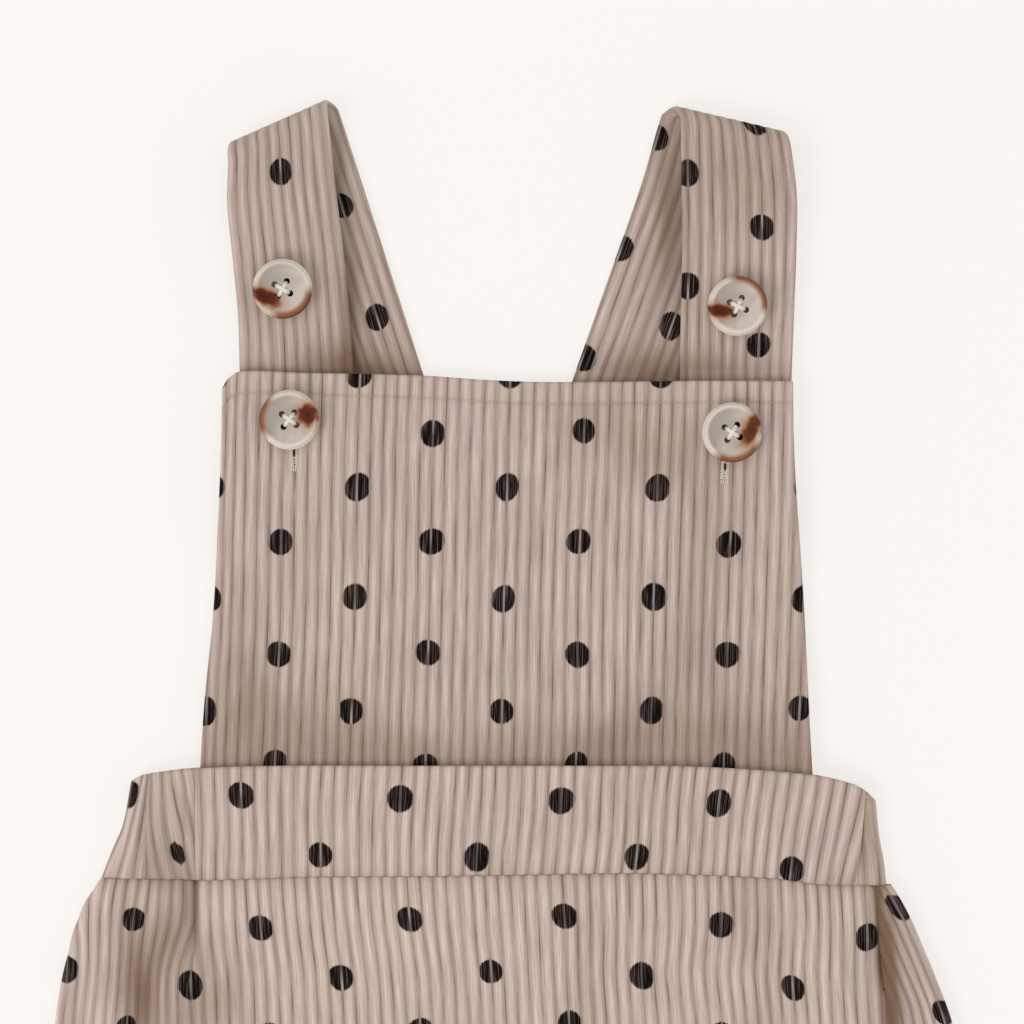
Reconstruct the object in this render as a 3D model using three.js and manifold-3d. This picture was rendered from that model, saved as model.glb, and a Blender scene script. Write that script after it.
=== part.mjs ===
// A baby's bib romper in wide-wale corduroy, laid flat on its back with the straps folded over at the shoulders.
// Millimetres. +Z is up, away from the surface it lies on; +Y runs from the legs to the straps; +X is to the
// right of someone who looks down on the front. The origin is on the surface, under the middle of its outline.
import * as THREE from "three";
import { mergeVertices } from "three/addons/utils/BufferGeometryUtils.js";
import Module from "manifold-3d";

const wasm = await Module();
wasm.setup();

// ---- driving dimensions -------------------------------------------------------------------------------------
const seamGap = 0.3; // clearance that stands for a seam, or for two layers that touch
const panelThickness = 1.5; // one layer of corduroy
const bandThickness = 2.4; // waistband, turned double
const bibThickness = 2.0; // bib with its turned edges
const strapThickness = 2.0; // strap, a pressed tube
const buttonDiameter = 18; // 28 ligne
const buttonThickness = 3.4;
const dish = 1; // how far the button's middle lies below its rim
const buttonHoleDiameter = 1.7;
const buttonHoleSpacing = 3.9; // between neighbouring holes of the four
const shankDiameter = 2.6; // thread wound between cloth and button
const shankHeight = 1.4; // from the cloth to the button
const buttonholeBottomY = 99.5; // lower end of the slits in the bib
const bibTuck = 8; // how far the bib runs on behind the waistband
const turnUnder = 10; // how far the front of the legs turns under at each side

const colour = {
  corduroy: 0xc2ada0,
  corduroyShade: 0xb8a294,
  horn: 0xd9d0c2,
  thread: 0xe4dacb,
};

// ---- outline tables, all in plan --------------------------------------------------------------------------
// Seam between waistband and legs.
const waistSeam = [
  { x: -124, y: -21.5 },
  { x: -94, y: -22 },
  { x: -60, y: -21 },
  { x: 0, y: -20 },
  { x: 30, y: -19.6 },
  { x: 60, y: -20.5 },
  { x: 80, y: -21.6 },
  { x: 94, y: -23.4 },
  { x: 114, y: -23.8 },
];
// Upper edge of the waistband; both ends round down to the side folds.
const bandTop = [
  { x: -116, y: 4 },
  { x: -113.5, y: 7.4 },
  { x: -110, y: 9.4 },
  { x: -92, y: 11.6 },
  { x: -60, y: 12.4 },
  { x: 40, y: 12.5 },
  { x: 69, y: 11.4 },
  { x: 91, y: 9.4 },
  { x: 103.5, y: 6.4 },
  { x: 108, y: 4 },
  { x: 111, y: 0.5 },
];
// Side folds of the waistband.
const bandSides = [
  { y: -24, left: -123, right: 113.2 },
  { y: -13, left: -119.6, right: 112.4 },
  { y: -4, left: -116.4, right: 111 },
  { y: 8, left: -114, right: 110 },
];
// Side folds of the legs, from the waist seam to the outer corner of each leg opening.
const legSides = [
  { y: -21, left: -122.6, right: 113.4 },
  { y: -29.5, left: -128.1, right: 118.4 },
  { y: -38.5, left: -131.6, right: 122.6 },
  { y: -56.5, left: -135.7, right: 130 },
  { y: -72, left: -137.6, right: 135 },
  { y: -90, left: -138, right: 138 },
  { y: -115, left: -136.5, right: 137.2 },
  { y: -142, left: -131, right: 131.5 },
  { y: -168, left: -121, right: 121 },
];
// Lower edge: the two leg openings with the crotch between them.
const hem = [
  { x: -121, y: -168 },
  { x: -104, y: -177.5 },
  { x: -84, y: -186.5 },
  { x: -62, y: -195 },
  { x: -44, y: -202.5 },
  { x: -32, y: -208.5 },
  { x: -18, y: -211.5 },
  { x: 0, y: -212 },
  { x: 18, y: -211.5 },
  { x: 32, y: -208.5 },
  { x: 44, y: -202.5 },
  { x: 62, y: -195 },
  { x: 84, y: -186.5 },
  { x: 104, y: -177.5 },
  { x: 121, y: -168 },
];
const bibSides = [
  { y: 4, left: -93.2, right: 91.6 },
  { y: 32, left: -91.8, right: 90.2 },
  { y: 60, left: -89.4, right: 88.5 },
  { y: 92, left: -87.5, right: 86.1 },
  { y: 110, left: -86.8, right: 85.2 },
  { y: 131, left: -86.2, right: 84.9 },
];
const bibTop = [
  { x: -86.4, y: 125.4 },
  { x: -84.6, y: 128.4 },
  { x: -80.8, y: 130.6 },
  { x: -63, y: 130.2 },
  { x: -26, y: 129.4 },
  { x: -8, y: 128.2 },
  { x: 12, y: 127.5 },
  { x: 60, y: 127.8 },
  { x: 84.9, y: 127.7 },
];

// Soft ridges (height > 0) and troughs in the front of the legs. `turn` is the crease's lean from straight down.
const legCreases = [
  { x: -94, y: -40, turn: 0, length: 52, width: 4, height: -1.4 },
  { x: -104, y: -52, turn: -8, length: 76, width: 7, height: 1.3 },
  { x: -113.5, y: -66, turn: -6, length: 78, width: 6, height: -1.3 },
  { x: -124, y: -60, turn: -4, length: 84, width: 7, height: 1.1 },
  { x: -29, y: -70, turn: 2, length: 70, width: 9, height: 0.9 },
  { x: 14, y: -58, turn: 1, length: 80, width: 8, height: 0.9 },
  { x: 24, y: -52, turn: 1, length: 66, width: 6, height: -0.8 },
  { x: 77, y: -50, turn: 3, length: 60, width: 7, height: -0.9 },
  { x: 100, y: -62, turn: 3, length: 74, width: 7, height: 1.2 },
  { x: 113, y: -54, turn: 4, length: 76, width: 5, height: -1.7 },
  { x: 122, y: -66, turn: 12, length: 66, width: 6, height: 1 },
  { x: -88, y: -150, turn: -24, length: 58, width: 9, height: 1.3 },
  { x: -66, y: -162, turn: -18, length: 50, width: 8, height: -0.9 },
  { x: -40, y: -168, turn: -10, length: 52, width: 8, height: 1 },
  { x: 44, y: -166, turn: 12, length: 54, width: 8, height: 1.1 },
  { x: 69, y: -158, turn: 20, length: 50, width: 8, height: -0.9 },
  { x: 92, y: -148, turn: 26, length: 60, width: 9, height: 1.3 },
];

// Straps, a row for each crossing line from the free end behind the bib to the fold at the shoulder, then from
// the fold to the end inside the back waistband. out* is the edge away from the neck, in* the edge beside it.
const strapRows = {
  left: {
    front: [
      { outX: -80.6, outY: 92, outZ: 3.35, inX: -46.4, inY: 92, inZ: 3.35 },
      { outX: -80.8, outY: 112, outZ: 3.35, inX: -46.6, inY: 112, inZ: 3.35 },
      { outX: -81.3, outY: 131, outZ: 3.4, inX: -47.1, inY: 131.6, inZ: 3.4 },
      { outX: -81.7, outY: 147, outZ: 4.4, inX: -48.4, inY: 150, inZ: 4.2 },
      { outX: -83.3, outY: 165, outZ: 6, inX: -50.5, inY: 171, inZ: 5.2 },
      { outX: -84.7, outY: 181, outZ: 8.2, inX: -52.8, inY: 190, inZ: 5.9 },
    ],
    fold: {
      outX: -81.9,
      outY: 193.8,
      outRadius: 4.6,
      inX: -53.3,
      inY: 208.2,
      inRadius: 2.7,
      slide: 1.6,
    },
    back: [
      { outX: -76.4, outY: 177, outZ: 1, inX: -44.4, inY: 187, inZ: 1 },
      { outX: -67, outY: 147, outZ: 1, inX: -34.8, inY: 157, inZ: 1 },
      { outX: -55, outY: 108.5, outZ: 1, inX: -22.6, inY: 118.8, inZ: 1 },
      { outX: -43, outY: 70.5, outZ: 1, inX: -10.6, inY: 80.8, inZ: 1 },
      { outX: -33, outY: 39.5, outZ: 1, inX: -0.6, inY: 49.8, inZ: 1 },
      { outX: -28.4, outY: 25, outZ: 2.6, inX: 4, inY: 35.3, inZ: 2.2 },
      { outX: -24.6, outY: 13, outZ: 3.75, inX: 7.8, inY: 23.3, inZ: 3.6 },
      { outX: -18, outY: -8, outZ: 3.75, inX: 13.6, inY: 2, inZ: 3.75 },
      { outX: -14.5, outY: -16, outZ: 3.75, inX: 17.6, inY: -13.5, inZ: 3.75 },
    ],
  },
  right: {
    front: [
      { outX: 84.3, outY: 88, outZ: 3.35, inX: 50.3, inY: 88, inZ: 3.35 },
      { outX: 84.5, outY: 108, outZ: 3.35, inX: 50.6, inY: 108, inZ: 3.35 },
      { outX: 84.7, outY: 129, outZ: 3.4, inX: 51, inY: 129, inZ: 3.4 },
      { outX: 85.3, outY: 146, outZ: 4.3, inX: 51.3, inY: 147.5, inZ: 4.1 },
      { outX: 85.9, outY: 165, outZ: 5.6, inX: 51.7, inY: 168.5, inZ: 5 },
      { outX: 86, outY: 183, outZ: 7.3, inX: 51.4, inY: 188.5, inZ: 5.8 },
    ],
    fold: {
      outX: 81.4,
      outY: 198.0,
      outRadius: 3.9,
      inX: 48.4,
      inY: 207.2,
      inRadius: 2.6,
      slide: 2.9,
    },
    back: [
      { outX: 72.3, outY: 175.6, outZ: 1, inX: 39.5, inY: 187, inZ: 1 },
      { outX: 61.8, outY: 145.6, outZ: 1, inX: 29, inY: 157, inZ: 1 },
      { outX: 48.9, outY: 109.6, outZ: 1, inX: 16.3, inY: 121, inZ: 1 },
      { outX: 40.3, outY: 85.6, outZ: 1, inX: 7.9, inY: 97, inZ: 1 },
      { outX: 33.2, outY: 65.6, outZ: 1.5, inX: 1, inY: 77, inZ: 2.2 },
      { outX: 25.8, outY: 43.6, outZ: 3.2, inX: -6.4, inY: 55, inZ: 3.7 },
      { outX: 20.9, outY: 28.6, outZ: 5.05, inX: -11.3, inY: 40, inZ: 4.45 },
      { outX: 16.8, outY: 15.6, outZ: 6.1, inX: -15.4, inY: 27, inZ: 5.8 },
      { outX: 9.8, outY: -7.4, outZ: 6.1, inX: -22, inY: 3, inZ: 6.1 },
      { outX: 7.4, outY: -15.5, outZ: 6.1, inX: -25.2, inY: -12.5, inZ: 6.1 },
    ],
  },
};

// Buttons: plan centre, height of the cloth's upper face under it, and the tilt that lays it on that cloth.
const buttons = [
  { name: "button_left_upper", x: -68.1, y: 155.6, cloth: 5.95, lean: 5 },
  { name: "button_left_lower", x: -66, y: 116, cloth: 6.95, lean: 0, onBib: true },
  { name: "button_right_upper", x: 68.1, y: 150.4, cloth: 5.4, lean: 4 },
  { name: "button_right_lower", x: 66.4, y: 112.2, cloth: 6.95, lean: 0, onBib: true },
];

// ---- small tools ----------------------------------------------------------------------------------------------
const mix = (a, b, t) => a + (b - a) * t;
const clamp = (v) => Math.min(1, Math.max(0, v));
const ramp = (low, high, v) => {
  const t = clamp((v - low) / (high - low));
  return t * t * (3 - 2 * t);
};
const either = (a, b) => a + b - a * b; // two shares from 0 to 1, smoothly joined
const steps = (count) => Array.from({ length: count + 1 }, (_, i) => i / count);
const edgedSteps = (count) => [0, 0.015, ...steps(count).slice(1, -1), 0.985, 1];

// Reads a table's column `key` at `value` of its column `by`, on a smooth curve through the rows.
function read(rows, by, key, value) {
  const up = rows[1][by] > rows[0][by] ? 1 : -1;
  let i = rows.findIndex((row) => (row[by] - value) * up >= 0);
  if (i === 0) return rows[0][key];
  if (i < 0) return rows.at(-1)[key];
  const [a, b] = [rows[i - 1], rows[i]];
  const [before, after] = [rows[i - 2] ?? a, rows[i + 1] ?? b];
  const span = b[by] - a[by];
  const t = (value - a[by]) / span;
  const slopeA = ((b[key] - before[key]) / (b[by] - before[by])) * span;
  const slopeB = ((after[key] - a[key]) / (after[by] - a[by])) * span;
  const t2 = t * t;
  const t3 = t2 * t;
  return (
    (2 * t3 - 3 * t2 + 1) * a[key] +
    (t3 - 2 * t2 + t) * slopeA +
    (3 * t2 - 2 * t3) * b[key] +
    (t3 - t2) * slopeB
  );
}

// A closed wall of cloth about a middle surface: point(column, row) gives its middle, in columns by rows steps.
function clothWall(point, columns, rows, thickness) {
  const middle = columns.map((u) => rows.map((v) => point(u, v)));
  const [m, n] = [columns.length, rows.length];
  const at = (i, j) => middle[Math.min(m - 1, Math.max(0, i))][Math.min(n - 1, Math.max(0, j))];
  const positions = [];
  for (const side of [1, -1])
    for (let i = 0; i < m; i++)
      for (let j = 0; j < n; j++) {
        const across = at(i + 1, j).clone().sub(at(i - 1, j));
        const along = at(i, j + 1).clone().sub(at(i, j - 1));
        const out = across.cross(along).normalize().multiplyScalar((side * thickness) / 2);
        positions.push(...out.add(at(i, j)).toArray());
      }
  const index = [];
  const vertex = (side, i, j) => side * m * n + i * n + j;
  const quad = (a, b, c, d) => index.push(a, b, c, a, c, d);
  for (let i = 0; i < m - 1; i++)
    for (let j = 0; j < n - 1; j++) {
      quad(vertex(0, i, j), vertex(0, i + 1, j), vertex(0, i + 1, j + 1), vertex(0, i, j + 1));
      quad(vertex(1, i, j), vertex(1, i, j + 1), vertex(1, i + 1, j + 1), vertex(1, i + 1, j));
    }
  for (let i = 0; i < m - 1; i++) {
    quad(vertex(0, i, 0), vertex(1, i, 0), vertex(1, i + 1, 0), vertex(0, i + 1, 0));
    quad(vertex(0, i + 1, n - 1), vertex(1, i + 1, n - 1), vertex(1, i, n - 1), vertex(0, i, n - 1));
  }
  for (let j = 0; j < n - 1; j++) {
    quad(vertex(0, 0, j + 1), vertex(1, 0, j + 1), vertex(1, 0, j), vertex(0, 0, j));
    quad(vertex(0, m - 1, j), vertex(1, m - 1, j), vertex(1, m - 1, j + 1), vertex(0, m - 1, j + 1));
  }
  const geometry = new THREE.BufferGeometry();
  geometry.setAttribute("position", new THREE.Float32BufferAttribute(positions, 3));
  geometry.setIndex(index);
  return geometry;
}

// To and from the boolean library.
function toSolid(geometry) {
  const bare = geometry.clone();
  bare.deleteAttribute("normal");
  bare.deleteAttribute("uv");
  const merged = mergeVertices(bare, 1e-4);
  return new wasm.Manifold(
    new wasm.Mesh({
      numProp: 3,
      vertProperties: new Float32Array(merged.attributes.position.array),
      triVerts: new Uint32Array(merged.index.array),
    }),
  );
}
function toGeometry(solid) {
  const mesh = solid.getMesh();
  const geometry = new THREE.BufferGeometry();
  geometry.setAttribute("position", new THREE.BufferAttribute(mesh.vertProperties, 3));
  geometry.setIndex(new THREE.BufferAttribute(mesh.triVerts, 1));
  return geometry;
}

const cloth = (shade) => new THREE.MeshStandardMaterial({ color: shade, roughness: 0.95, metalness: 0 });
function piece(name, geometry, material) {
  geometry.computeVertexNormals();
  const mesh = new THREE.Mesh(geometry, material);
  mesh.name = name;
  return mesh;
}

// ---- heights of the upper layers -------------------------------------------------------------------------------
const sideHeight = 4.4; // middle of the waistband's upper layer at its side folds
const legEdgeHeight = 4.2; // middle of the legs' upper layer at their side folds

// Middle of the front waistband: it lies over the bib and, at its centre, over the two strap ends.
function bandHeight(x) {
  const overBib = 2.05 * (1 - ramp(90, 102, Math.abs(x)));
  const overStraps = 4.6 * Math.exp(-((x / 46) ** 4));
  return sideHeight + overBib + overStraps;
}

// Middle of the bib: it lies on the crossed straps, on the two buttoned strap ends, and sags between them.
function bibHeight(x, y) {
  const side = Math.abs(x);
  const onCross = (1 - ramp(40, 62, side)) * (1 - ramp(70, 96, y));
  const onEnds = ramp(33, 45, side) * ramp(66, 86, y);
  const sagAtNeck = 0.9 * (1 - ramp(2, 14, side)) * ramp(104, 124, y);
  const sagAtSides = 0.7 * ramp(80, 90, side) * (1 - ramp(60, 84, y));
  const open = 3.45 + 2.5 * either(onCross, onEnds) - sagAtNeck - sagAtSides;
  const behindBand = bandHeight(x) - (bandThickness + bibThickness) / 2 - seamGap;
  return mix(behindBand, open, ramp(15, 56, y));
}

function creaseHeight(x, y) {
  let sum = 0;
  for (const crease of legCreases) {
    const turn = THREE.MathUtils.degToRad(crease.turn);
    const [dx, dy] = [x - crease.x, y - crease.y];
    const across = (dx * Math.cos(turn) + dy * Math.sin(turn)) / crease.width;
    const along = (dy * Math.cos(turn) - dx * Math.sin(turn)) / (crease.length / 2);
    sum += crease.height * Math.exp(-across * across) * Math.exp(-(along ** 4));
  }
  return sum;
}

// Middle of the upper layer of the legs.
function legHeight(x, y) {
  const seamY = read(waistSeam, "x", "y", x);
  const below = seamY - y;
  const nearWaist = Math.exp(-((below / 24) ** 2));
  const nearHem = Math.exp(-(((y - read(hem, "x", "y", x)) / 16) ** 2));
  const puff = 1.2 * Math.exp(-(((below - 80) / 50) ** 2));
  let height = mix(legEdgeHeight + puff, bandHeight(x), nearWaist);
  height += creaseHeight(x, y) * (1 - nearWaist ** 3) * (1 - nearHem);
  const [left, right] = ["left", "right"].map((side) => read(legSides, "y", side, y));
  const nearSide = 1 - ramp(3, 16, Math.min(x - left, right - x));
  height = mix(height, mix(legEdgeHeight, sideHeight, nearWaist), nearSide);
  const crotch = nearHem * (1 - ramp(30, 46, Math.abs(x)));
  return mix(height, panelThickness * 1.5 + seamGap, crotch);
}

// ---- a section that wraps round both sides ---------------------------------------------------------------------
// `u` runs over five stretches of length 1: a strip, a fold, the broad layer, a fold, a strip. The strips lie
// above the broad layer, or below it where `broadOnTop` is set, and end at the side seams.
const [leftFold, broadLayer, rightFold, rightStrip] = [1, 2, 3, 4];
const stretchCount = 5;
const inset = seamGap / 2;
function wrapPoint(u, v, { thickness, seamAt, sideAt, yAt, heightAt, broadOnTop }) {
  const stretch = Math.min(rightStrip, Math.floor(u));
  const t = u - stretch;
  const low = thickness / 2;
  const onLeft = stretch <= leftFold || (stretch === broadLayer && t < 0.5);
  const [side, inward] = onLeft ? ["left", 1] : ["right", -1];
  const edge = (row, from, sign) => sideAt(from, row) + sign * low;
  const yFold = yAt(edge(0, side, inward), edge(1, side, inward), v);
  const radius = (heightAt(edge(v, side, inward) + inward * 3, yFold) - low) / 2;
  const turn = (row, from = side, sign = inward) => edge(row, from, sign) + sign * radius;
  if (stretch === leftFold || stretch === rightFold) {
    const angle = Math.PI * (stretch === leftFold ? t : 1 - t);
    const x = turn(v) - inward * radius * Math.sin(angle);
    const rise = broadOnTop ? -Math.cos(angle) : Math.cos(angle);
    return new THREE.Vector3(x, yFold, low + radius * (1 + rise));
  }
  if (stretch === broadLayer) {
    const xAt = (row) => mix(turn(row, "left", 1), turn(row, "right", -1), t);
    const y = yAt(xAt(0), xAt(1), v);
    return new THREE.Vector3(xAt(v), y, broadOnTop ? heightAt(xAt(v), y) : low);
  }
  const share = onLeft ? t : 1 - t;
  const xAt = (row) => mix(seamAt(side, row) - inward * inset, turn(row), share);
  const y = yAt(xAt(0), xAt(1), v);
  const onTop = mix(heightAt(xAt(v), y), low + 2 * radius, ramp(0.6, 1, share));
  return new THREE.Vector3(xAt(v), y, broadOnTop ? low : onTop);
}
function wrapColumns(leftStripCount, foldCount, broadCount, rightStripCount) {
  const counts = [leftStripCount, foldCount, broadCount, foldCount, rightStripCount];
  const columns = counts.flatMap((count, stretch) =>
    steps(count)
      .slice(0, -1)
      .map((t) => stretch + t),
  );
  return [...columns, stretchCount];
}

// ---- the legs: the front is broader than it looks, and its sides turn under to seams on the underside ---------
const sideStart = waistSeam[0].y;
const sideEnd = legSides.at(-1).y;
const legSideAt = (side, v) => read(legSides, "y", side, mix(sideStart, sideEnd, v));
const legSeamAt = (side, v) => legSideAt(side, v) + (side === "left" ? turnUnder : -turnUnder);
// A point at row v on the line that starts at xTop on the waist seam and ends at xEnd on the lower edge.
function legY(xTop, xEnd, v) {
  return mix(read(waistSeam, "x", "y", xTop) - inset, read(hem, "x", "y", xEnd), v);
}
const frontLegs = {
  thickness: panelThickness,
  seamAt: legSeamAt,
  sideAt: legSideAt,
  yAt: legY,
  heightAt: legHeight,
  broadOnTop: true,
};
const backLegPoint = (u, v) => {
  const xAt = (row) => mix(legSeamAt("left", row) + inset, legSeamAt("right", row) - inset, u);
  return new THREE.Vector3(xAt(v), legY(xAt(0), xAt(1), v), panelThickness / 2);
};
const legRows = [1, 0.96, 0.9, 0.82, 0.72, 0.6, 0.48, 0.37, 0.27, 0.18, 0.11, 0.05, 0];
const frontPanel = clothWall(
  (u, v) => wrapPoint(u, v, frontLegs),
  wrapColumns(2, 5, 38, 2),
  legRows,
  panelThickness,
);
const backPanel = clothWall(backLegPoint, edgedSteps(16), legRows, panelThickness);

// ---- the waistband: a front between the side seams and an elasticated back that wraps round ------------------------
const bandSideAt = (side, v) => read(bandSides, "y", side, mix(bandSides[0].y, bandSides.at(-1).y, v));
const bandSeamAt = (side, v) => (side === "left" ? -94.2 : mix(104.2, 106.8, v));
const bandY = (xFoot, xTop, v) =>
  mix(read(waistSeam, "x", "y", xFoot) + inset, read(bandTop, "x", "y", xTop), v);
const backBandSection = {
  thickness: bandThickness,
  seamAt: bandSeamAt,
  sideAt: bandSideAt,
  yAt: bandY,
  heightAt: bandHeight,
  broadOnTop: false,
};
const frontBandPoint = (u, v) => {
  const xAt = (row) => mix(bandSeamAt("left", row) + inset, bandSeamAt("right", row) - inset, u);
  return new THREE.Vector3(xAt(v), bandY(xAt(0), xAt(1), v), bandHeight(xAt(v)));
};
const bandRows = [0, 0.3, 0.65, 0.9, 1];
const frontBand = clothWall(frontBandPoint, edgedSteps(26), bandRows, bandThickness);
const backBand = clothWall(
  (u, v) => wrapPoint(u, v, backBandSection),
  wrapColumns(5, 6, 12, 2),
  bandRows,
  bandThickness,
);

// ---- the bib, with a buttonhole at each upper corner -----------------------------------------------------------------
const bibFoot = (x) => read(bandTop, "x", "y", x) - bibTuck;
const bibPoint = (u, v) => {
  const yGuess = mix(4, 129, v);
  const [left, right] = ["left", "right"].map((side) => read(bibSides, "y", side, yGuess));
  const x = mix(left, right, u);
  const y = mix(bibFoot(x), read(bibTop, "x", "y", x), v);
  return new THREE.Vector3(x, y, bibHeight(x, y));
};
// A slit that the thread shank opens at its upper end, running down to a point.
function buttonholeCutter(button) {
  const half = shankDiameter / 2 + seamGap;
  const shape = new THREE.Shape();
  shape.absarc(button.x, button.y, half, -0.4, Math.PI + 0.4);
  shape.lineTo(button.x - seamGap, buttonholeBottomY);
  shape.lineTo(button.x + seamGap, buttonholeBottomY);
  const cutter = new THREE.ExtrudeGeometry(shape, {
    depth: 12,
    bevelEnabled: false,
    curveSegments: 10,
  });
  return toSolid(cutter);
}
let bib = toSolid(clothWall(bibPoint, edgedSteps(20), edgedSteps(14), bibThickness));
for (const button of buttons.filter((b) => b.onBib)) bib = bib.subtract(buttonholeCutter(button));

// ---- the straps --------------------------------------------------------------------------------------------------------
// Crossing lines of one strap in order, each with its two edge points: front rows, the roll over the shoulder
// about a slanting axis, back rows.
function strapLines({ front, fold, back }) {
  const edge = (row, key) => new THREE.Vector3(row[key + "X"], row[key + "Y"], row[key + "Z"]);
  const low = strapThickness / 2;
  const lines = front.map((row) => [edge(row, "out"), edge(row, "in")]);
  const axis = new THREE.Vector3(fold.inX - fold.outX, fold.inY - fold.outY, 0).normalize();
  const beyond = new THREE.Vector3(-axis.y, axis.x, 0);
  if (beyond.y < 0) beyond.negate();
  for (const t of steps(6)) {
    const angle = Math.PI * t;
    const roll = (key) => {
      const radius = fold[key + "Radius"];
      return new THREE.Vector3(fold[key + "X"], fold[key + "Y"], low + radius)
        .addScaledVector(beyond, radius * Math.sin(angle))
        .addScaledVector(axis, fold.slide * (2 * t - 1))
        .add(new THREE.Vector3(0, 0, radius * Math.cos(angle)));
    };
    lines.push([roll("out"), roll("in")]);
  }
  return [...lines, ...back.map((row) => [edge(row, "out"), edge(row, "in")])];
}
function strap(rows, mirrored) {
  const lines = strapLines(rows);
  const point = (u, v) => {
    const [outer, inner] = lines[v];
    return outer.clone().lerp(inner, mirrored ? 1 - u : u);
  };
  return clothWall(point, steps(6), [...lines.keys()], strapThickness);
}

// ---- buttons: a dished disc with a rounded rim and four holes, on a shank of wound thread ----------------------------
function buttonSolid() {
  const radius = buttonDiameter / 2;
  const profile = new THREE.Path();
  profile.moveTo(0, 0);
  profile.lineTo(radius * 0.6, 0);
  profile.quadraticCurveTo(radius, 0.6, radius, buttonThickness * 0.6);
  profile.quadraticCurveTo(radius * 0.98, buttonThickness, radius * 0.82, buttonThickness);
  profile.quadraticCurveTo(radius * 0.64, buttonThickness - 0.2, radius * 0.54, buttonThickness - dish);
  profile.lineTo(0, buttonThickness - dish - 0.2);
  const disc = new THREE.LatheGeometry(profile.getPoints(3), 28);
  let solid = toSolid(disc.rotateX(Math.PI / 2));
  if (solid.volume() < 0) throw new Error("the button's profile runs the wrong way");
  for (const [sx, sy] of [
    [1, 1],
    [1, -1],
    [-1, 1],
    [-1, -1],
  ]) {
    const drill = new THREE.CylinderGeometry(buttonHoleDiameter / 2, buttonHoleDiameter / 2, 12, 8);
    drill.rotateX(Math.PI / 2);
    drill.translate((sx * buttonHoleSpacing) / 2, (sy * buttonHoleSpacing) / 2, 0);
    solid = solid.subtract(toSolid(drill));
  }
  return toGeometry(solid);
}

// ---- the romper ---------------------------------------------------------------------------------------------------------
const romper = new THREE.Group();
romper.add(
  piece("back_panel", backPanel, cloth(colour.corduroyShade)),
  piece("back_waistband", backBand, cloth(colour.corduroyShade)),
  piece("front_panel", frontPanel, cloth(colour.corduroy)),
  piece("front_waistband", frontBand, cloth(colour.corduroy)),
  piece("bib", toGeometry(bib), cloth(colour.corduroy)),
  piece("strap_left", strap(strapRows.left, false), cloth(colour.corduroy)),
  piece("strap_right", strap(strapRows.right, true), cloth(colour.corduroy)),
);

const horn = new THREE.MeshStandardMaterial({ color: colour.horn, roughness: 0.25, metalness: 0 });
const thread = new THREE.MeshStandardMaterial({ color: colour.thread, roughness: 0.8, metalness: 0 });
for (const button of buttons) {
  const place = new THREE.Group();
  place.position.set(button.x, button.y, button.cloth);
  place.rotation.x = THREE.MathUtils.degToRad(button.lean);
  const disc = piece(button.name, buttonSolid(), horn);
  disc.position.z = shankHeight;
  // On the bib the shank passes through the buttonhole to the strap end underneath.
  const foot = button.onBib ? -(bibThickness + seamGap) : seamGap;
  const length = shankHeight - seamGap - foot;
  const stem = new THREE.CylinderGeometry(shankDiameter / 2, shankDiameter / 2, length, 14);
  const shank = piece(button.name.replace("button", "thread_shank"), stem.rotateX(Math.PI / 2), thread);
  shank.position.z = foot + length / 2;
  place.add(disc, shank);
  romper.add(place);
}

export default romper;
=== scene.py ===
import math

import bmesh
import bpy
import numpy as np
from mathutils import Euler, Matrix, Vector


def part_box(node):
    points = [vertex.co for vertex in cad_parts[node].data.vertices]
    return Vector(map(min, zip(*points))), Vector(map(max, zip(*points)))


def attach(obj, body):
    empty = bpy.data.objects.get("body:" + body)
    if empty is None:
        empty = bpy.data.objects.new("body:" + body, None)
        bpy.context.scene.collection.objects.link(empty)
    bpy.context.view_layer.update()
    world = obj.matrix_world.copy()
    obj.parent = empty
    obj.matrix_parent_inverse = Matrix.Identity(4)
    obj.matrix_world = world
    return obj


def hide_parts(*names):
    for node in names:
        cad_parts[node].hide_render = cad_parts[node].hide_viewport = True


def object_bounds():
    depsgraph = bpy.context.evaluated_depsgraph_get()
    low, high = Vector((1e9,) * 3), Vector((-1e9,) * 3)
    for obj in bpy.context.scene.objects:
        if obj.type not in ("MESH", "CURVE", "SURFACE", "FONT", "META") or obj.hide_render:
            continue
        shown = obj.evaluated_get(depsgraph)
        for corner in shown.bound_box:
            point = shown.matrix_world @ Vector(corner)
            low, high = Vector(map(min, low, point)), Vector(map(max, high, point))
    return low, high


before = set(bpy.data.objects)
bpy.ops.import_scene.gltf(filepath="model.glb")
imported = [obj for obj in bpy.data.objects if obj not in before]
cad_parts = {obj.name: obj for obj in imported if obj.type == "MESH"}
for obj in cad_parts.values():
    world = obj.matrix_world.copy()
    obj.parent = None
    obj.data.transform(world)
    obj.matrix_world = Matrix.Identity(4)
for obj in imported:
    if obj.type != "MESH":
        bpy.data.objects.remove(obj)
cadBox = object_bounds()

# A baby's bib romper in wide-wale corduroy, laid flat. Lengths are in millimetres until a mesh is made.
mm = 0.001
outlineMiddle = (0.06, -0.26)  # middle of the tables below, laid on the middle of the frame's box
shiftX = (cadBox[0][0] + cadBox[1][0]) / 2 / mm - outlineMiddle[0]
shiftY = (cadBox[0][1] + cadBox[1][1]) / 2 / mm - outlineMiddle[1]

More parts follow.
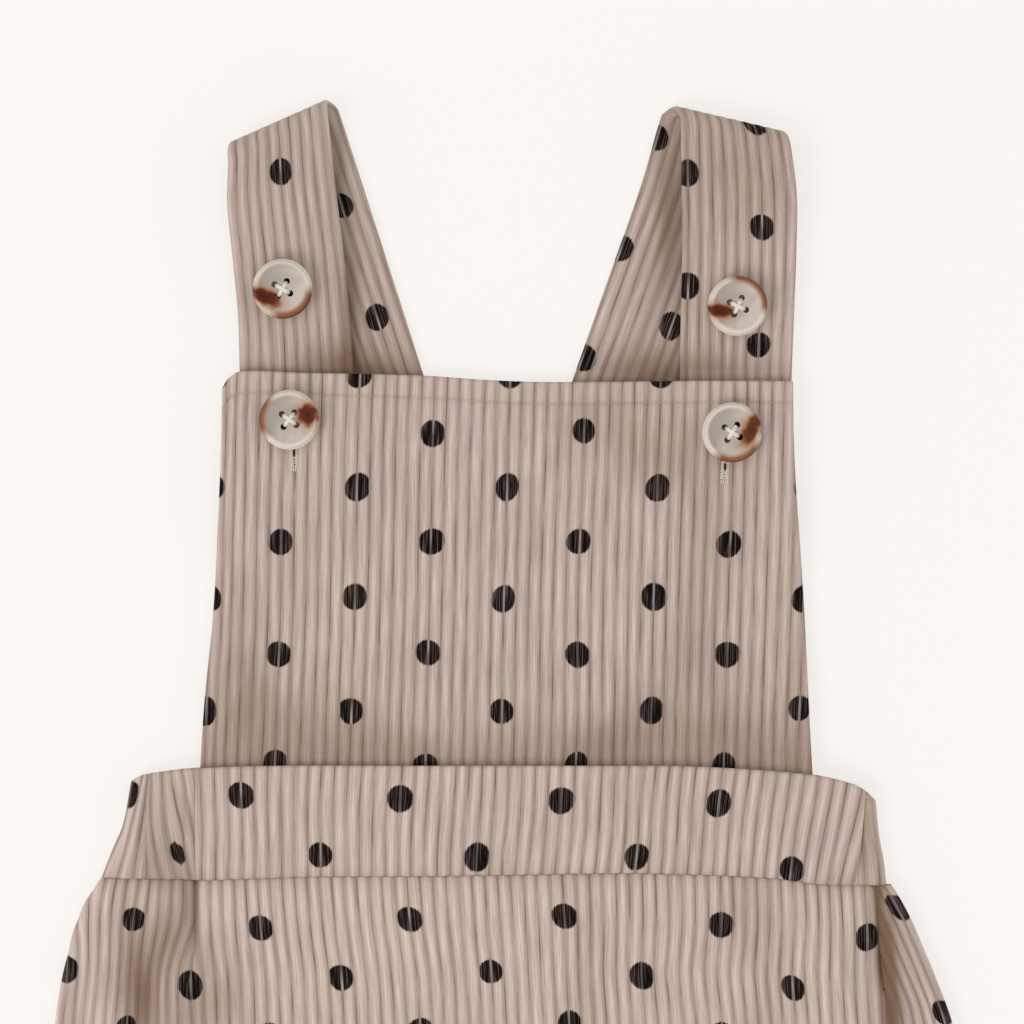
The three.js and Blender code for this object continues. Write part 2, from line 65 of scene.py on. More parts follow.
cloth = {
    "wale": 3.8,            # from one furrow to the next
    "ribDepth": 0.33,       # how far a furrow is cut into the pile
    "seamGap": 0.03,        # what shows between two pieces that are sewn together
    "seamStands": 0.8,      # a seam's edge is rounded less than a free one
    "seamDip": 0.5,         # and both pieces sink towards it
    # the seam's dark line and the soft shade beside it are painted shade, laid along the seam's groove
    "lineWide": 0.4, "lineDeep": 0.2, "lineVaries": 0.18,     # a seam's dark line
    "shadeWide": 2.2, "shadeDeep": 0.17,                      # and the soft shade along it
    "panel": 1.5,           # one layer
    "band": 2.4,            # waistband, turned double
    "bib": 2.0,
    "strap": 2.0,
}

# The outline, as places in plan: along the seam or edge, then across it.
waistSeam = [(-124, -21.5), (-94, -22), (-60, -21), (0, -20), (30, -19.6), (60, -20.5),
             (80, -21.6), (94, -23.4), (114, -23.8)]
bandTop = [(-116, 4), (-113.5, 7.4), (-110, 9.4), (-92, 11.6), (-60, 12.4), (40, 12.5),
           (69, 11.4), (91, 9.4), (103, 6.6), (107, 4.4), (109.4, 1.4), (111, -1.5)]
bandLeft = [(-24, -123), (-13, -119.6), (-4, -116.4), (8, -114)]
bandRight = [(-24, 113.2), (-13, 112.4), (-4, 111), (8, 110)]
legLeft = [(-21, -122.6), (-29.5, -128.1), (-38.5, -131.6), (-56.5, -135.7), (-72, -137.6),
           (-90, -138), (-115, -136.5), (-142, -131), (-168, -121)]
legRight = [(-21, 113.4), (-29.5, 118.4), (-38.5, 122.6), (-56.5, 130), (-72, 135),
            (-90, 138), (-115, 137.2), (-142, 131.5), (-168, 121)]
hem = [(-121, -168), (-104, -177.5), (-84, -186.5), (-62, -195), (-44, -202.5), (-32, -208.5),
       (-18, -211.5), (0, -212), (18, -211.5), (32, -208.5), (44, -202.5), (62, -195),
       (84, -186.5), (104, -177.5), (121, -168)]
bibLeft = [(4, -93.2), (32, -91.8), (60, -89.4), (92, -87.5), (110, -86.8), (131, -86.2)]
bibRight = [(4, 91.6), (32, 90.2), (60, 88.5), (92, 86.1), (110, 85.2), (131, 84.9)]
bibTop = [(-86.4, 125.4), (-84.6, 128.4), (-80.8, 130.6), (-63, 130.2), (-26, 129.4),
          (-8, 128.2), (12, 127.5), (60, 127.8), (84.9, 127.7)]


def mix(a, b, t):
    return a + (b - a) * t


def ramp(low, high, value):
    t = np.clip((value - low) / (high - low), 0, 1)
    return t * t * (3 - 2 * t)


def either(a, b):
    return a + b - a * b


# 1 where the distance is 0, falling off softly.
def bell(distance, width):
    return np.exp(-((distance / width) ** 2))


# Wales are never quite straight.
def wander(across, y, a, b, c, start):
    return 0.2 * np.sin(y / 21 + across / a) + 0.1 * np.sin(y / b - across / c + start)


def addObject(name, data):
    thing = bpy.data.objects.new(name, data)
    bpy.context.scene.collection.objects.link(thing)
    return thing


# A smooth curve through a table of (place, value) rows, flat beyond both ends.
def curveThrough(rows, place):
    table = np.array(sorted(rows), float)
    xs, ys = table[:, 0], table[:, 1]
    slope = np.empty(len(xs))
    slope[1:-1] = (ys[2:] - ys[:-2]) / (xs[2:] - xs[:-2])
    slope[0] = (ys[1] - ys[0]) / (xs[1] - xs[0])
    slope[-1] = (ys[-1] - ys[-2]) / (xs[-1] - xs[-2])
    place = np.clip(place, xs[0], xs[-1])
    i = np.clip(np.searchsorted(xs, place, side="right") - 1, 0, len(xs) - 2)
    span = xs[i + 1] - xs[i]
    t = (place - xs[i]) / span
    t2 = t * t
    t3 = t2 * t
    return ((2 * t3 - 3 * t2 + 1) * ys[i] + (t3 - 2 * t2 + t) * slope[i] * span
            + (3 * t2 - 2 * t3) * ys[i + 1] + (t3 - t2) * slope[i + 1] * span)


# Where a place `across` the cloth lies in plan. A sheet's places have a row for each level and a value for
# each key. In a tuck the cloth has its own pace on both sides of a crease, and the rest is folded away.
# Gives x, and how deep in a crease the place is.
def spreadAcross(sheet, across, level):
    keys = np.array(sheet["keys"], float)
    lines = []
    for column in np.array(sheet["places"], float).T:
        lines.append(curveThrough(list(zip(sheet["levels"], column)), level))
    lines = np.stack(lines)
    i = np.clip(np.searchsorted(keys, across, side="right") - 1, 0, len(keys) - 2)
    low = np.take_along_axis(lines, i[None], 0)[0]
    high = np.take_along_axis(lines, i[None] + 1, 0)[0]
    x = mix(low, high, (across - keys[i]) / (keys[i + 1] - keys[i]))
    dip = np.zeros_like(x)
    packed = 0.02     # folded cloth keeps this much of its width, so that its columns stay in order
    for number, tuck in sheet["tucks"].items():
        size = keys[number + 1] - keys[number]
        low, high = lines[number], lines[number + 1]
        wide = np.maximum(high - low, 0.4)
        spare = np.maximum(size - wide / tuck["pace"], 0)
        shown = size - spare
        crease = curveThrough(list(zip(sheet["levels"], tuck["x"])), level)
        start = across - keys[number]
        hidden = np.clip(start - np.clip((crease - low) / tuck["pace"], 0, shown), 0, spare)
        tucked = low + (start - hidden) * (wide - packed * spare) / shown + packed * hidden
        x = np.where((i == number) & (spare > 0.02), tucked, x)
        dip = np.maximum(dip, tuck["deep"] * ramp(0, 6, spare) * bell(x - crease, tuck["width"]))
    return x, dip


# Soft ridges (height > 0) and troughs, and how deep in troughs a place lies, which becomes painted shade.
# `turn` is the crease's lean in degrees from straight down.
def creaseHeight(creases, x, y):
    total = np.zeros_like(x)
    paintedShade = np.zeros_like(x)
    for px, py, turn, length, width, height in creases:
        angle = math.radians(turn)
        dx, dy = x - px, y - py
        side = (dx * math.cos(angle) + dy * math.sin(angle)) / width
        down = (dy * math.cos(angle) - dx * math.sin(angle)) / (length / 2)
        share = np.exp(-side * side) * np.exp(-(down ** 4))
        total += height * share
        paintedShade += max(0, -height) * share
    return total, paintedShade


# Places in soft shade: x, y, reach across, reach along, how deep.
def shadeOver(patches, x, y):
    total = np.zeros_like(x)
    for px, py, wide, long, deep in patches:
        total += deep * np.exp(-(((x - px) / wide) ** 2) - ((y - py) / long) ** 2)
    return total


def seamSink(distance):
    return cloth["seamDip"] * bell(distance, 2)


rim = np.array([0, 0.02, 0.14, 0.35, 0.7, 1.1, 1.6])  # distances from an edge where its rounding gets a line
ribPhases = np.array([0, 0.08, 0.2, 0.36, 0.5, 0.64, 0.8, 0.92])


# A wale is softly rounded, with a narrow furrow.
def ribHeight(across):
    phase = np.mod(across / cloth["wale"], 1)
    return mix(np.sin(math.pi * phase) ** 2, 1 - np.abs(2 * phase - 1) ** 2.4, 0.4)


# Columns along the wales, between a left and a right edge that may cut across them.
def waleColumns(left, right):
    first = math.floor(left.min() / cloth["wale"])
    last = math.ceil(right.max() / cloth["wale"])
    lines = ((np.arange(first, last)[:, None] + ribPhases) * cloth["wale"]).ravel()
    inside = np.clip(lines[:, None], left[None] + rim[-1] + 0.1, right[None] - rim[-1] - 0.1)
    return np.concatenate([left[None] + rim[:, None], inside, right[None] - rim[::-1, None]])


# Where a sheet's edge lies on the cloth, so that the sheet ends at x = `wanted` in every row.
def edgeAt(place, rows, start, wanted):
    across = start + 0 * rows
    for _ in range(14):
        x = place(across, rows)[..., 0]
        pace = np.maximum((place(across + 0.2, rows)[..., 0] - x) / 0.2, 0.2)
        across = across + np.clip((wanted - x) / pace, -1.5, 1.5)
    return across


def evenRows(length, step):
    count = max(2, round((length - 2 * rim[-1]) / step))
    body = np.linspace(rim[-1] + 0.6, length - rim[-1] - 0.6, count)
    return np.concatenate([rim, body, length - rim[::-1]]) / length


# A closed sheet about its middle surface. place(across, v) gives x, y, z and how much painted shade a place
# gets in its hollows. `ribbed` is for the outer and the inner face. `seams` says how much of a seam shows at
# the left, right, foot and top, and how strong the painted shade along it is.
# `pressed` gives how far the wales are flattened at a place.
def sewSheet(name, place, left, right, rows, length, wall, uv, underUv=None, ribbed=(1, 0),
             seams=(0, 0, 0, 0), pressed=None):
    across = waleColumns(left, right)
    v = np.broadcast_to(rows[None], across.shape)
    placed = place(across, v)
    middle, tint = placed[..., :3], placed[..., 3]
    nudge = 0.3                        # a place's slopes are taken over this distance
    nudgeUp = nudge / length
    toRight = (place(across + nudge, v) - place(across - nudge, v))[..., :3]
    toTop = (place(across, v + nudgeUp) - place(across, v - nudgeUp))[..., :3]
    out = np.cross(toRight, toTop)
    out /= np.maximum(np.linalg.norm(out, axis=2, keepdims=True), 1e-9)
    spacing = np.linalg.norm(toRight, axis=2) / (2 * nudge)

    rounding = np.ones_like(v)
    fromEdge = np.full_like(v, 9.0)
    planX, planY = middle[..., 0], middle[..., 1]
    # painted shade along a sewn edge: a dark line in the seam's groove, whose depth varies along the seam
    varied = np.sin(planX * 1.9) * np.sin(planX * 0.53 + planY * 0.4 + 1)
    uneven = cloth["lineDeep"] + cloth["lineVaries"] * varied
    for distance, sewn in zip((across - left, right - across, v * length, (1 - v) * length), seams):
        stands = cloth["seamStands"] if sewn else 0
        inside = distance > 0.01
        reach = np.where(inside, np.clip((distance + stands) / 1.3, 0, 1), 0)
        rounding = np.minimum(rounding, np.sqrt(1 - (1 - reach) ** 2))
        fromEdge = np.minimum(fromEdge, np.where(inside, distance + 2 * stands, 0))
        # and a soft painted shade beside the seam
        softShade = cloth["shadeDeep"] * bell(distance, cloth["shadeWide"])
        tint = tint + sewn * (uneven * bell(distance, cloth["lineWide"]) + softShade)
    depth = cloth["ribDepth"] * ramp(0.2, 0.7, spacing) * ramp(0, 1.4, fromEdge)
    if pressed:
        depth = depth * (1 - pressed(across, v))
    underAcross = across if underUv is None else underUv(across, v)[0]
    lift = wall / 2 * rounding - ribbed[0] * depth * (1 - ribHeight(across))
    drop = wall / 2 * rounding - ribbed[1] * depth * (1 - ribHeight(underAcross))
    top = middle + out * lift[..., None]
    under = middle - out * drop[..., None]

    columns, count = across.shape
    points = np.concatenate([top.reshape(-1, 3), under.reshape(-1, 3)])
    points[:, 0] += shiftX
    points[:, 1] += shiftY
    points[:, 2] = np.maximum(points[:, 2], 0)
    index = np.arange(columns * count).reshape(columns, count)
    corners = [index[:-1, :-1], index[1:, :-1], index[1:, 1:], index[:-1, 1:]]
    quads = np.stack(corners, -1).reshape(-1, 4)
    faces = np.concatenate([quads, quads[:, ::-1] + columns * count])
    mesh = bpy.data.meshes.new(name)
    mesh.from_pydata((points * mm).tolist(), [], faces.tolist())

    topUv = np.stack(uv(across, v), -1).reshape(-1, 2)
    lowUv = topUv if underUv is None else np.stack(underUv(across, v), -1).reshape(-1, 2)
    perCorner = np.concatenate([topUv, lowUv])[faces.ravel()] * mm
    layer = mesh.uv_layers.new(name="cloth")
    layer.data.foreach_set("uv", perCorner.astype(np.float32).ravel())
    shade = np.tile(np.clip(tint, 0, 0.9).ravel(), 2).astype(np.float32)
    mesh.attributes.new("paintedShade", "FLOAT", "POINT").data.foreach_set("value", shade)
    reverse = np.repeat([0, 0 if ribbed[1] else 1], len(quads)).astype(np.int32)
    mesh.polygons.foreach_set("material_index", reverse)
    mesh.polygons.foreach_set("use_smooth", np.ones(len(faces), bool))

    bm = bmesh.new()
    bm.from_mesh(mesh)
    bmesh.ops.remove_doubles(bm, verts=bm.verts, dist=4e-6)
    loose = [vert for vert in bm.verts if not vert.link_faces]
    bmesh.ops.delete(bm, geom=loose, context="VERTS")
    bm.to_mesh(mesh)
    bm.free()
    piece = addObject(name, mesh)
    mesh.materials.append(corduroy)
    mesh.materials.append(corduroyBack)
    print("sewn", name, len(mesh.polygons), "faces")
    return piece


def linear(hexColour):
    parts = [int(hexColour[i:i + 2], 16) / 255 for i in (1, 3, 5)]
    curved = [p / 12.92 if p <= 0.04045 else ((p + 0.055) / 1.055) ** 2.4 for p in parts]
    return tuple(curved) + (1.0,)


# Adds a node with its settings. `inputs` are values, sockets, or nodes to link from by their first output in
# use. In a map range 1 and 2 are the values from and to, 3 and 4 what they become; in a mix of colours 0 is
# the share, 6 and 7 are the colours.
def addNode(tree, kind, inputs, **settings):
    node = tree.nodes.new("ShaderNode" + kind)
    for name, value in settings.items():
        setattr(node, name, value)
    for socket, value in inputs.items():
        if isinstance(value, bpy.types.Node):
            value = next(output for output in value.outputs if output.enabled)
        if isinstance(value, bpy.types.NodeSocket):
            tree.links.new(value, node.inputs[socket])
        else:
            node.inputs[socket].default_value = value
    return node


def newMaterial(name):
    material = bpy.data.materials.new(name)
    material.use_nodes = True
    material.node_tree.nodes.clear()
    return material, material.node_tree


# Cotton corduroy, cut pile in 3.8 mm wales: soft ridges, with painted shade that darkens them towards thin
# furrows, matt with hardly any sheen. Polka dots are printed on the pile after weaving, so a furrow stays
# pale inside a dot.
corduroyLook = {
    "ridge": "#d1bdb5",          # pinkish beige
    "ridgeWarm": "#cebcae",      # the same cloth where it yellows
    # painted shade: a ridge darkens down its flanks, and darker still in the furrow
    "flank": "#a38c81",
    "furrow": "#7c665b",
    "hollowTint": "#71563f",     # brown shade in folds and under edges
    "dot": "#080303",
    "dotWorn": "#68534c",        # where the pile's tips have lost their ink
    "dotFurrow": "#a9a19e",
    "dotRadiusX": 3.85,
    "dotRadiusY": 4.1,
    "dotStepX": 45.6,            # 12 wales
    "dotStepY": 33.4,            # two rows, the second moved half a step
    "raggedEdge": 0.16,          # the pile breaks up a dot's edge
    "drift": (2.2, 3.0, 0),      # how far the print wanders, as the cloth was never quite square to it
    "furrowRun": 17,             # a furrow opens and closes over about this length
    # streaks of the pile: how fine they are across and along the wales, detail, roughness
    "streaks": {
        "fine": ((2.3, 0.075, 0), 2, 0.6),
        "broad": ((0.7, 0.04, 0), 2, 0.5),
        "pile": ((3.0, 1.6, 0), 3, 0.7),
        "hue": ((0.05, 0.025, 0), 3, 0.5),
    },
    # ramps: what each starts from, from and to, what these become, and its curve
    "ramps": {
        "tightness": ("openness", 0.38, 0.68, 0, 0.85, "LINEAR"),
        "furrowLine": ("ridge", 0.02, 0.09, 1, 0, "SMOOTHSTEP"),
        "flank": ("ridge", 0, 0.46, 0.74, 0, "SMOOTHSTEP"),
        "warmth": ("hue", 0.35, 0.65, 0, 1, "LINEAR"),
        "fineTone": ("fine", 0.3, 0.7, 0.85, 1.13, "LINEAR"),
        "broadTone": ("broad", 0.3, 0.7, 0.9, 1.08, "LINEAR"),
        "pileTone": ("pile", 0.3, 0.7, 0.96, 1.04, "LINEAR"),
        "inDot": ("ragged", 0.98, 1.14, 1, 0, "SMOOTHSTEP"),
        "worn": ("fine", 0.49, 0.72, 0, 0.85, "LINEAR"),
        "dotFurrowLine": ("ridge", 0.05, 0.12, 1, 0, "SMOOTHSTEP"),
        "paleness": ("tightness", 0, 0.85, 0.2, 0.88, "LINEAR"),
    },
}


def makeCorduroy():
    look = corduroyLook
    material, tree = newMaterial("cotton_corduroy")
    place = addNode(tree, "UVMap", {}, uv_map="cloth")
    inMm = addNode(tree, "VectorMath", {0: place, "Scale": 1000}, operation="SCALE")
    split = addNode(tree, "SeparateXYZ", {0: inMm})
    wale = addNode(tree, "Math", {0: split.outputs[0], 1: 1 / cloth["wale"]}, operation="MULTIPLY")
    values = {"ridge": addNode(tree, "Math", {0: wale, 1: 0.5}, operation="PINGPONG")}
    for name, (fineness, detail, roughness) in look["streaks"].items():
        streakPlace = addNode(tree, "VectorMath", {0: inMm, 1: fineness}, operation="MULTIPLY")
        values[name] = addNode(tree, "TexNoise", {"Vector": streakPlace, "Scale": 1, "Detail": detail,
                                                  "Roughness": roughness}, noise_dimensions="2D")

    # each furrow is closed more tightly in some places than in others, so its painted shade is deeper in
    # some places
    nearest = addNode(tree, "Math", {0: wale}, operation="ROUND")
    ownPlace = addNode(tree, "Math", {0: nearest, 1: 7.31}, operation="MULTIPLY")
    along = addNode(tree, "Math", {0: split.outputs[1], 1: 1 / look["furrowRun"]}, operation="MULTIPLY")
    furrowPlace = addNode(tree, "CombineXYZ", {0: ownPlace, 1: along})
    values["openness"] = addNode(tree, "TexNoise", {"Vector": furrowPlace, "Scale": 1, "Detail": 2},
                                 noise_dimensions="2D")

    # the dots' lattice: both half-shifted rows fall on whole numbers of two slanting counts
    driftNoise = addNode(tree, "TexNoise", {"Vector": inMm, "Scale": 0.045, "Detail": 1},
                         noise_dimensions="2D").outputs["Color"]
    drift = addNode(tree, "VectorMath", {0: driftNoise, 1: (0.5, 0.5, 0.5)}, operation="SUBTRACT")
    printed = addNode(tree, "VectorMath", {0: drift, 1: look["drift"], 2: inMm}, operation="MULTIPLY_ADD")
    rest = {}
    for socket, slant in ((0, 1), (1, -1)):
        slope = (1 / look["dotStepX"], slant / look["dotStepY"], 0)
        count = addNode(tree, "VectorMath", {0: printed, 1: slope}, operation="DOT_PRODUCT")
        rest[socket] = addNode(tree, "Math", {0: count, 1: 0.5, 2: -0.5}, operation="WRAP")
    rest = addNode(tree, "CombineXYZ", rest)
    away = {}
    for socket, axis, slant in ((0, "X", 1), (1, "Y", -1)):
        half = look["dotStep" + axis] / 2 / look["dotRadius" + axis]
        away[socket] = addNode(tree, "VectorMath", {0: rest, 1: (half, slant * half, 0)},
                               operation="DOT_PRODUCT")
    away = addNode(tree, "CombineXYZ", away)
    radius = addNode(tree, "VectorMath", {0: away}, operation="LENGTH")
    values["ragged"] = addNode(tree, "Math", {0: values["fine"], 1: look["raggedEdge"], 2: radius},
                               operation="MULTIPLY_ADD")

    for name, (source, low, high, before, after, curve) in look["ramps"].items():
        inputs = {"Value": values[source], 1: low, 2: high, 3: before, 4: after}
        values[name] = addNode(tree, "MapRange", inputs, interpolation_type=curve)
    for name, line, strength in (("furrow", "furrowLine", "tightness"),
                                 ("dotFurrow", "dotFurrowLine", "paleness")):
        values[name] = addNode(tree, "Math", {0: values[line], 1: values[strength]}, operation="MULTIPLY")

    # the cloth and the ink, each in layers, then the ink on the cloth. The cloth's layers hold painted
    # shade: down the ridges' flanks, in the furrows, and where a piece's attribute marks it.
    base, ink = linear(look["ridge"]), linear(look["dot"])
    for share, colour in (("warmth", "ridgeWarm"), ("flank", "flank"), ("furrow", "furrow")):
        base = addNode(tree, "Mix", {0: values[share], 6: base, 7: linear(look[colour])}, data_type="RGBA")
    for tone in ("fineTone", "broadTone", "pileTone"):
        base = addNode(tree, "VectorMath", {0: base, "Scale": values[tone]}, operation="SCALE")
    # painted shade: the cloth darkens towards a brown shade colour where a piece's attribute marks folds,
    # hollows and places under edges
    paintedShade = addNode(tree, "Attribute", {}, attribute_name="paintedShade").outputs["Fac"]
    base = addNode(tree, "Mix", {0: paintedShade, 6: base, 7: linear(look["hollowTint"])}, data_type="RGBA")
    for share, colour in (("worn", "dotWorn"), ("dotFurrow", "dotFurrow")):
        ink = addNode(tree, "Mix", {0: values[share], 6: ink, 7: linear(look[colour])}, data_type="RGBA")
    colour = addNode(tree, "Mix", {0: values["inDot"], 6: base, 7: ink}, data_type="RGBA")

    height = addNode(tree, "Math", {0: values["pile"], 1: values["fine"]}, operation="ADD")
    bump = addNode(tree, "Bump", {"Height": height, "Distance": 0.14 * mm, "Strength": 0.6})
    shader = addNode(tree, "BsdfPrincipled", {
        "Base Color": colour, "Roughness": 0.95, "Specular IOR Level": 0.12, "Sheen Weight": 0.05,
        "Sheen Roughness": 0.5, "Sheen Tint": linear("#efe4dc"), "Normal": bump})
    addNode(tree, "OutputMaterial", {"Surface": shader})
    return material


# The reverse of corduroy is a flat twill ground. Its threads are 0.4 mm apart, drawn at 0.8 mm so that they
# show.
def makeCorduroyBack():
    material, tree = newMaterial("corduroy_ground_weave")
    place = addNode(tree, "UVMap", {}, uv_map="cloth")
    inMm = addNode(tree, "VectorMath", {0: place, "Scale": 1000}, operation="SCALE")
    threads = {}
    for socket, direction in ((0, "X"), (1, "DIAGONAL")):
        wave = addNode(tree, "TexWave", {"Vector": inMm, "Scale": 0.393, "Distortion": 0.4, "Detail": 1},
                       wave_type="BANDS", bands_direction=direction)
        threads[socket] = wave.outputs["Fac"]
    weave = addNode(tree, "Math", threads, operation="MULTIPLY")
    broad = addNode(tree, "TexNoise", {"Vector": inMm, "Scale": 0.05, "Detail": 3}, noise_dimensions="2D")
    ground = addNode(tree, "Mix", {0: broad, 6: linear("#bfaca1"), 7: linear("#b3a090")}, data_type="RGBA")
    colour = addNode(tree, "Mix", {0: weave, 6: linear("#998476"), 7: ground}, data_type="RGBA")
    bump = addNode(tree, "Bump", {"Height": weave, "Distance": 0.12 * mm, "Strength": 0.7})
    shader = addNode(tree, "BsdfPrincipled", {
        "Base Color": colour, "Roughness": 0.9, "Specular IOR Level": 0.2, "Normal": bump})
    addNode(tree, "OutputMaterial", {"Surface": shader})
    return material


# Spun polyester thread: matt, with a fine twist along each stitch.
def makeThread(name, colour, shade):
    material, tree = newMaterial(name)
    place = addNode(tree, "TexCoord", {}).outputs["Object"]
    inMm = addNode(tree, "VectorMath", {0: place, "Scale": 1000}, operation="SCALE")
    twist = addNode(tree, "TexWave", {"Vector": inMm, "Scale": 0.9, "Distortion": 0.8, "Detail": 1},
                    wave_type="BANDS", bands_direction="DIAGONAL").outputs["Fac"]
    mixed = addNode(tree, "Mix", {0: twist, 6: linear(shade), 7: linear(colour)}, data_type="RGBA")
    bump = addNode(tree, "Bump", {"Height": twist, "Distance": 0.05 * mm, "Strength": 0.6})
    shader = addNode(tree, "BsdfPrincipled", {
        "Base Color": mixed, "Roughness": 0.75, "Sheen Weight": 0.1, "Sheen Roughness": 0.4, "Normal": bump})
    addNode(tree, "OutputMaterial", {"Surface": shader})
    return material


# Cast polyester in imitation of horn: smoky cream, clouded, with painted shade that greys it towards the
# upper left, a brown tongue of colour that runs in from the rim and an amber stretch round the rim.
# Polished, so it takes soft highlights.
hornLook = {
    "smoke": "#a99e94", "cream": "#c8bdb2", "rimCream": "#dacfc2",
    "haze": "#a57d58",           # the cream is stained round a tongue
    "red": ("#8e430f", "#5c1800", "#320a00"),      # a tongue's edge, body and middle
    "honey": ("#9c5a20", "#5e2c04", "#3a1800"),
    "amber": "#8c4a10", "amberDeep": "#5c2a04",
    "amberShare": 0.92, "arcSoft": 0.3,
    "ragged": (0.9, 0.9, 0), "tongueDepth": 40,
    # as in the corduroy; "outward" is in millimetres, "reach" is 1 at a tongue's edge
    "ramps": {
        "cloudy": ("clouds", 0.2, 0.8, 0, 1, "LINEAR"),
        "onRim": ("outward", 6.7, 7.9, 0, 1, "SMOOTHSTEP"),
        "ring": ("outward", 6.3, 7.9, 0, 1, "SMOOTHSTEP"),
        "outermost": ("outward", 8.0, 8.9, 0, 1, "LINEAR"),
        "stained": ("reach", 0.8, 2.1, 0.6, 0, "SMOOTHSTEP"),
        "inTongue": ("reach", 0.7, 1.25, 0.95, 0, "SMOOTHSTEP"),
        "body": ("reach", 0.65, 1.0, 1, 0, "LINEAR"),
        "middle": ("reach", 0.15, 0.75, 0.8, 0, "LINEAR"),
    },
}


def makeHorn(name, centre, tongue, arc):
    look = hornLook
    tongueX, tongueY, tongueTurn, long, wide, tone = tongue
    arcTurn, arcStart = arc
    material, tree = newMaterial(name)
    place = addNode(tree, "TexCoord", {}).outputs["Object"]
    local = addNode(tree, "Mapping", {"Vector": place, "Location": centre, "Scale": (mm, mm, mm)},
                    vector_type="TEXTURE")
    clouds = addNode(tree, "TexNoise", {"Vector": local, "Scale": 0.16, "Detail": 2, "Distortion": 0.6})
    # painted shade: a steady slope added to the clouds greys the cream towards the upper left, seen from
    # above
    slope = addNode(tree, "VectorMath", {0: local, 1: (0.05, -0.04, 0)}, operation="DOT_PRODUCT")
    clouds = addNode(tree, "Math", {0: clouds, 1: slope}, operation="ADD")
    flat = addNode(tree, "VectorMath", {0: local, 1: (1, 1, 0)}, operation="MULTIPLY")
    outward = addNode(tree, "VectorMath", {0: flat}, operation="LENGTH")

    shifted = addNode(tree, "Mapping", {
        "Vector": local, "Location": (tongueX, tongueY, 0), "Rotation": (0, 0, math.radians(tongueTurn)),
        "Scale": (long, wide, look["tongueDepth"])}, vector_type="TEXTURE")
    swirl = addNode(tree, "TexNoise", {"Vector": local, "Scale": 0.3, "Detail": 1}).outputs["Color"]
    push = addNode(tree, "VectorMath", {0: swirl, 1: (0.5, 0.5, 0.5)}, operation="SUBTRACT")
    pushed = addNode(tree, "VectorMath", {0: push, 1: look["ragged"], 2: shifted}, operation="MULTIPLY_ADD")
    reach = addNode(tree, "VectorMath", {0: pushed}, operation="LENGTH")

    values = {"clouds": clouds, "outward": outward, "reach": reach}
    for name, (source, low, high, before, after, curve) in look["ramps"].items():
        inputs = {"Value": values[source], 1: low, 2: high, 3: before, 4: after}
        values[name] = addNode(tree, "MapRange", inputs, interpolation_type=curve)

    heading = addNode(tree, "VectorMath", {0: flat}, operation="NORMALIZE")
    aim = (math.cos(math.radians(arcTurn)), math.sin(math.radians(arcTurn)), 0)
    facing = addNode(tree, "VectorMath", {0: heading, 1: aim}, operation="DOT_PRODUCT")
    spread = addNode(tree, "MapRange", {"Value": facing, 1: arcStart, 2: arcStart + look["arcSoft"]})
    inArc = addNode(tree, "Math", {0: values["ring"], 1: spread}, operation="MULTIPLY")
    inArc = addNode(tree, "Math", {0: inArc, 1: look["amberShare"]}, operation="MULTIPLY")

    brown, body, middle = (linear(colour) for colour in look[tone])
    for share, over in (("body", body), ("middle", middle)):
        brown = addNode(tree, "Mix", {0: values[share], 6: brown, 7: over}, data_type="RGBA")
    amber = addNode(tree, "Mix", {0: values["outermost"], 6: linear(look["amber"]),
                                  7: linear(look["amberDeep"])}, data_type="RGBA")
    colour = linear(look["smoke"])
    layers = [(values["cloudy"], linear(look["cream"])), (values["onRim"], linear(look["rimCream"])),
              (values["stained"], linear(look["haze"])), (values["inTongue"], brown), (inArc, amber)]
    for share, over in layers:
        colour = addNode(tree, "Mix", {0: share, 6: colour, 7: over}, data_type="RGBA")
    shader = addNode(tree, "BsdfPrincipled", {
        "Base Color": colour, "Roughness": 0.24, "IOR": 1.5, "Specular IOR Level": 0.07})
    addNode(tree, "OutputMaterial", {"Surface": shader})
    return material


corduroy = makeCorduroy()
corduroyBack = makeCorduroyBack()
buttonThread = makeThread("polyester_thread", "#f1ece5", "#d8d0c7")
seamThread = makeThread("polyester_thread_beige", "#c0ada1", "#a99487")
holeThread = makeThread("polyester_buttonhole_twist", "#e2d7cd", "#bcaa9d")
# a painted shadow: the dark brown of a buttonhole slit's shaded inside
slitShadowMaterial = makeThread("painted_shadow_in_buttonhole_slit", "#33231b", "#1f1510")
print("materials ready")

# The middle of an upper layer's height, and how much what lies below lifts it.
heights = {"bandSide": 4.4, "legSide": 4.2, "bandOverBib": 2.05, "bandOverStraps": 4.6, "strapsReach": 46}


def bandHeight(x):
    overBib = heights["bandOverBib"] * (1 - ramp(90, 102, np.abs(x)))
    overStraps = heights["bandOverStraps"] * np.exp(-((x / heights["strapsReach"]) ** 4))
    return heights["bandSide"] + overBib + overStraps


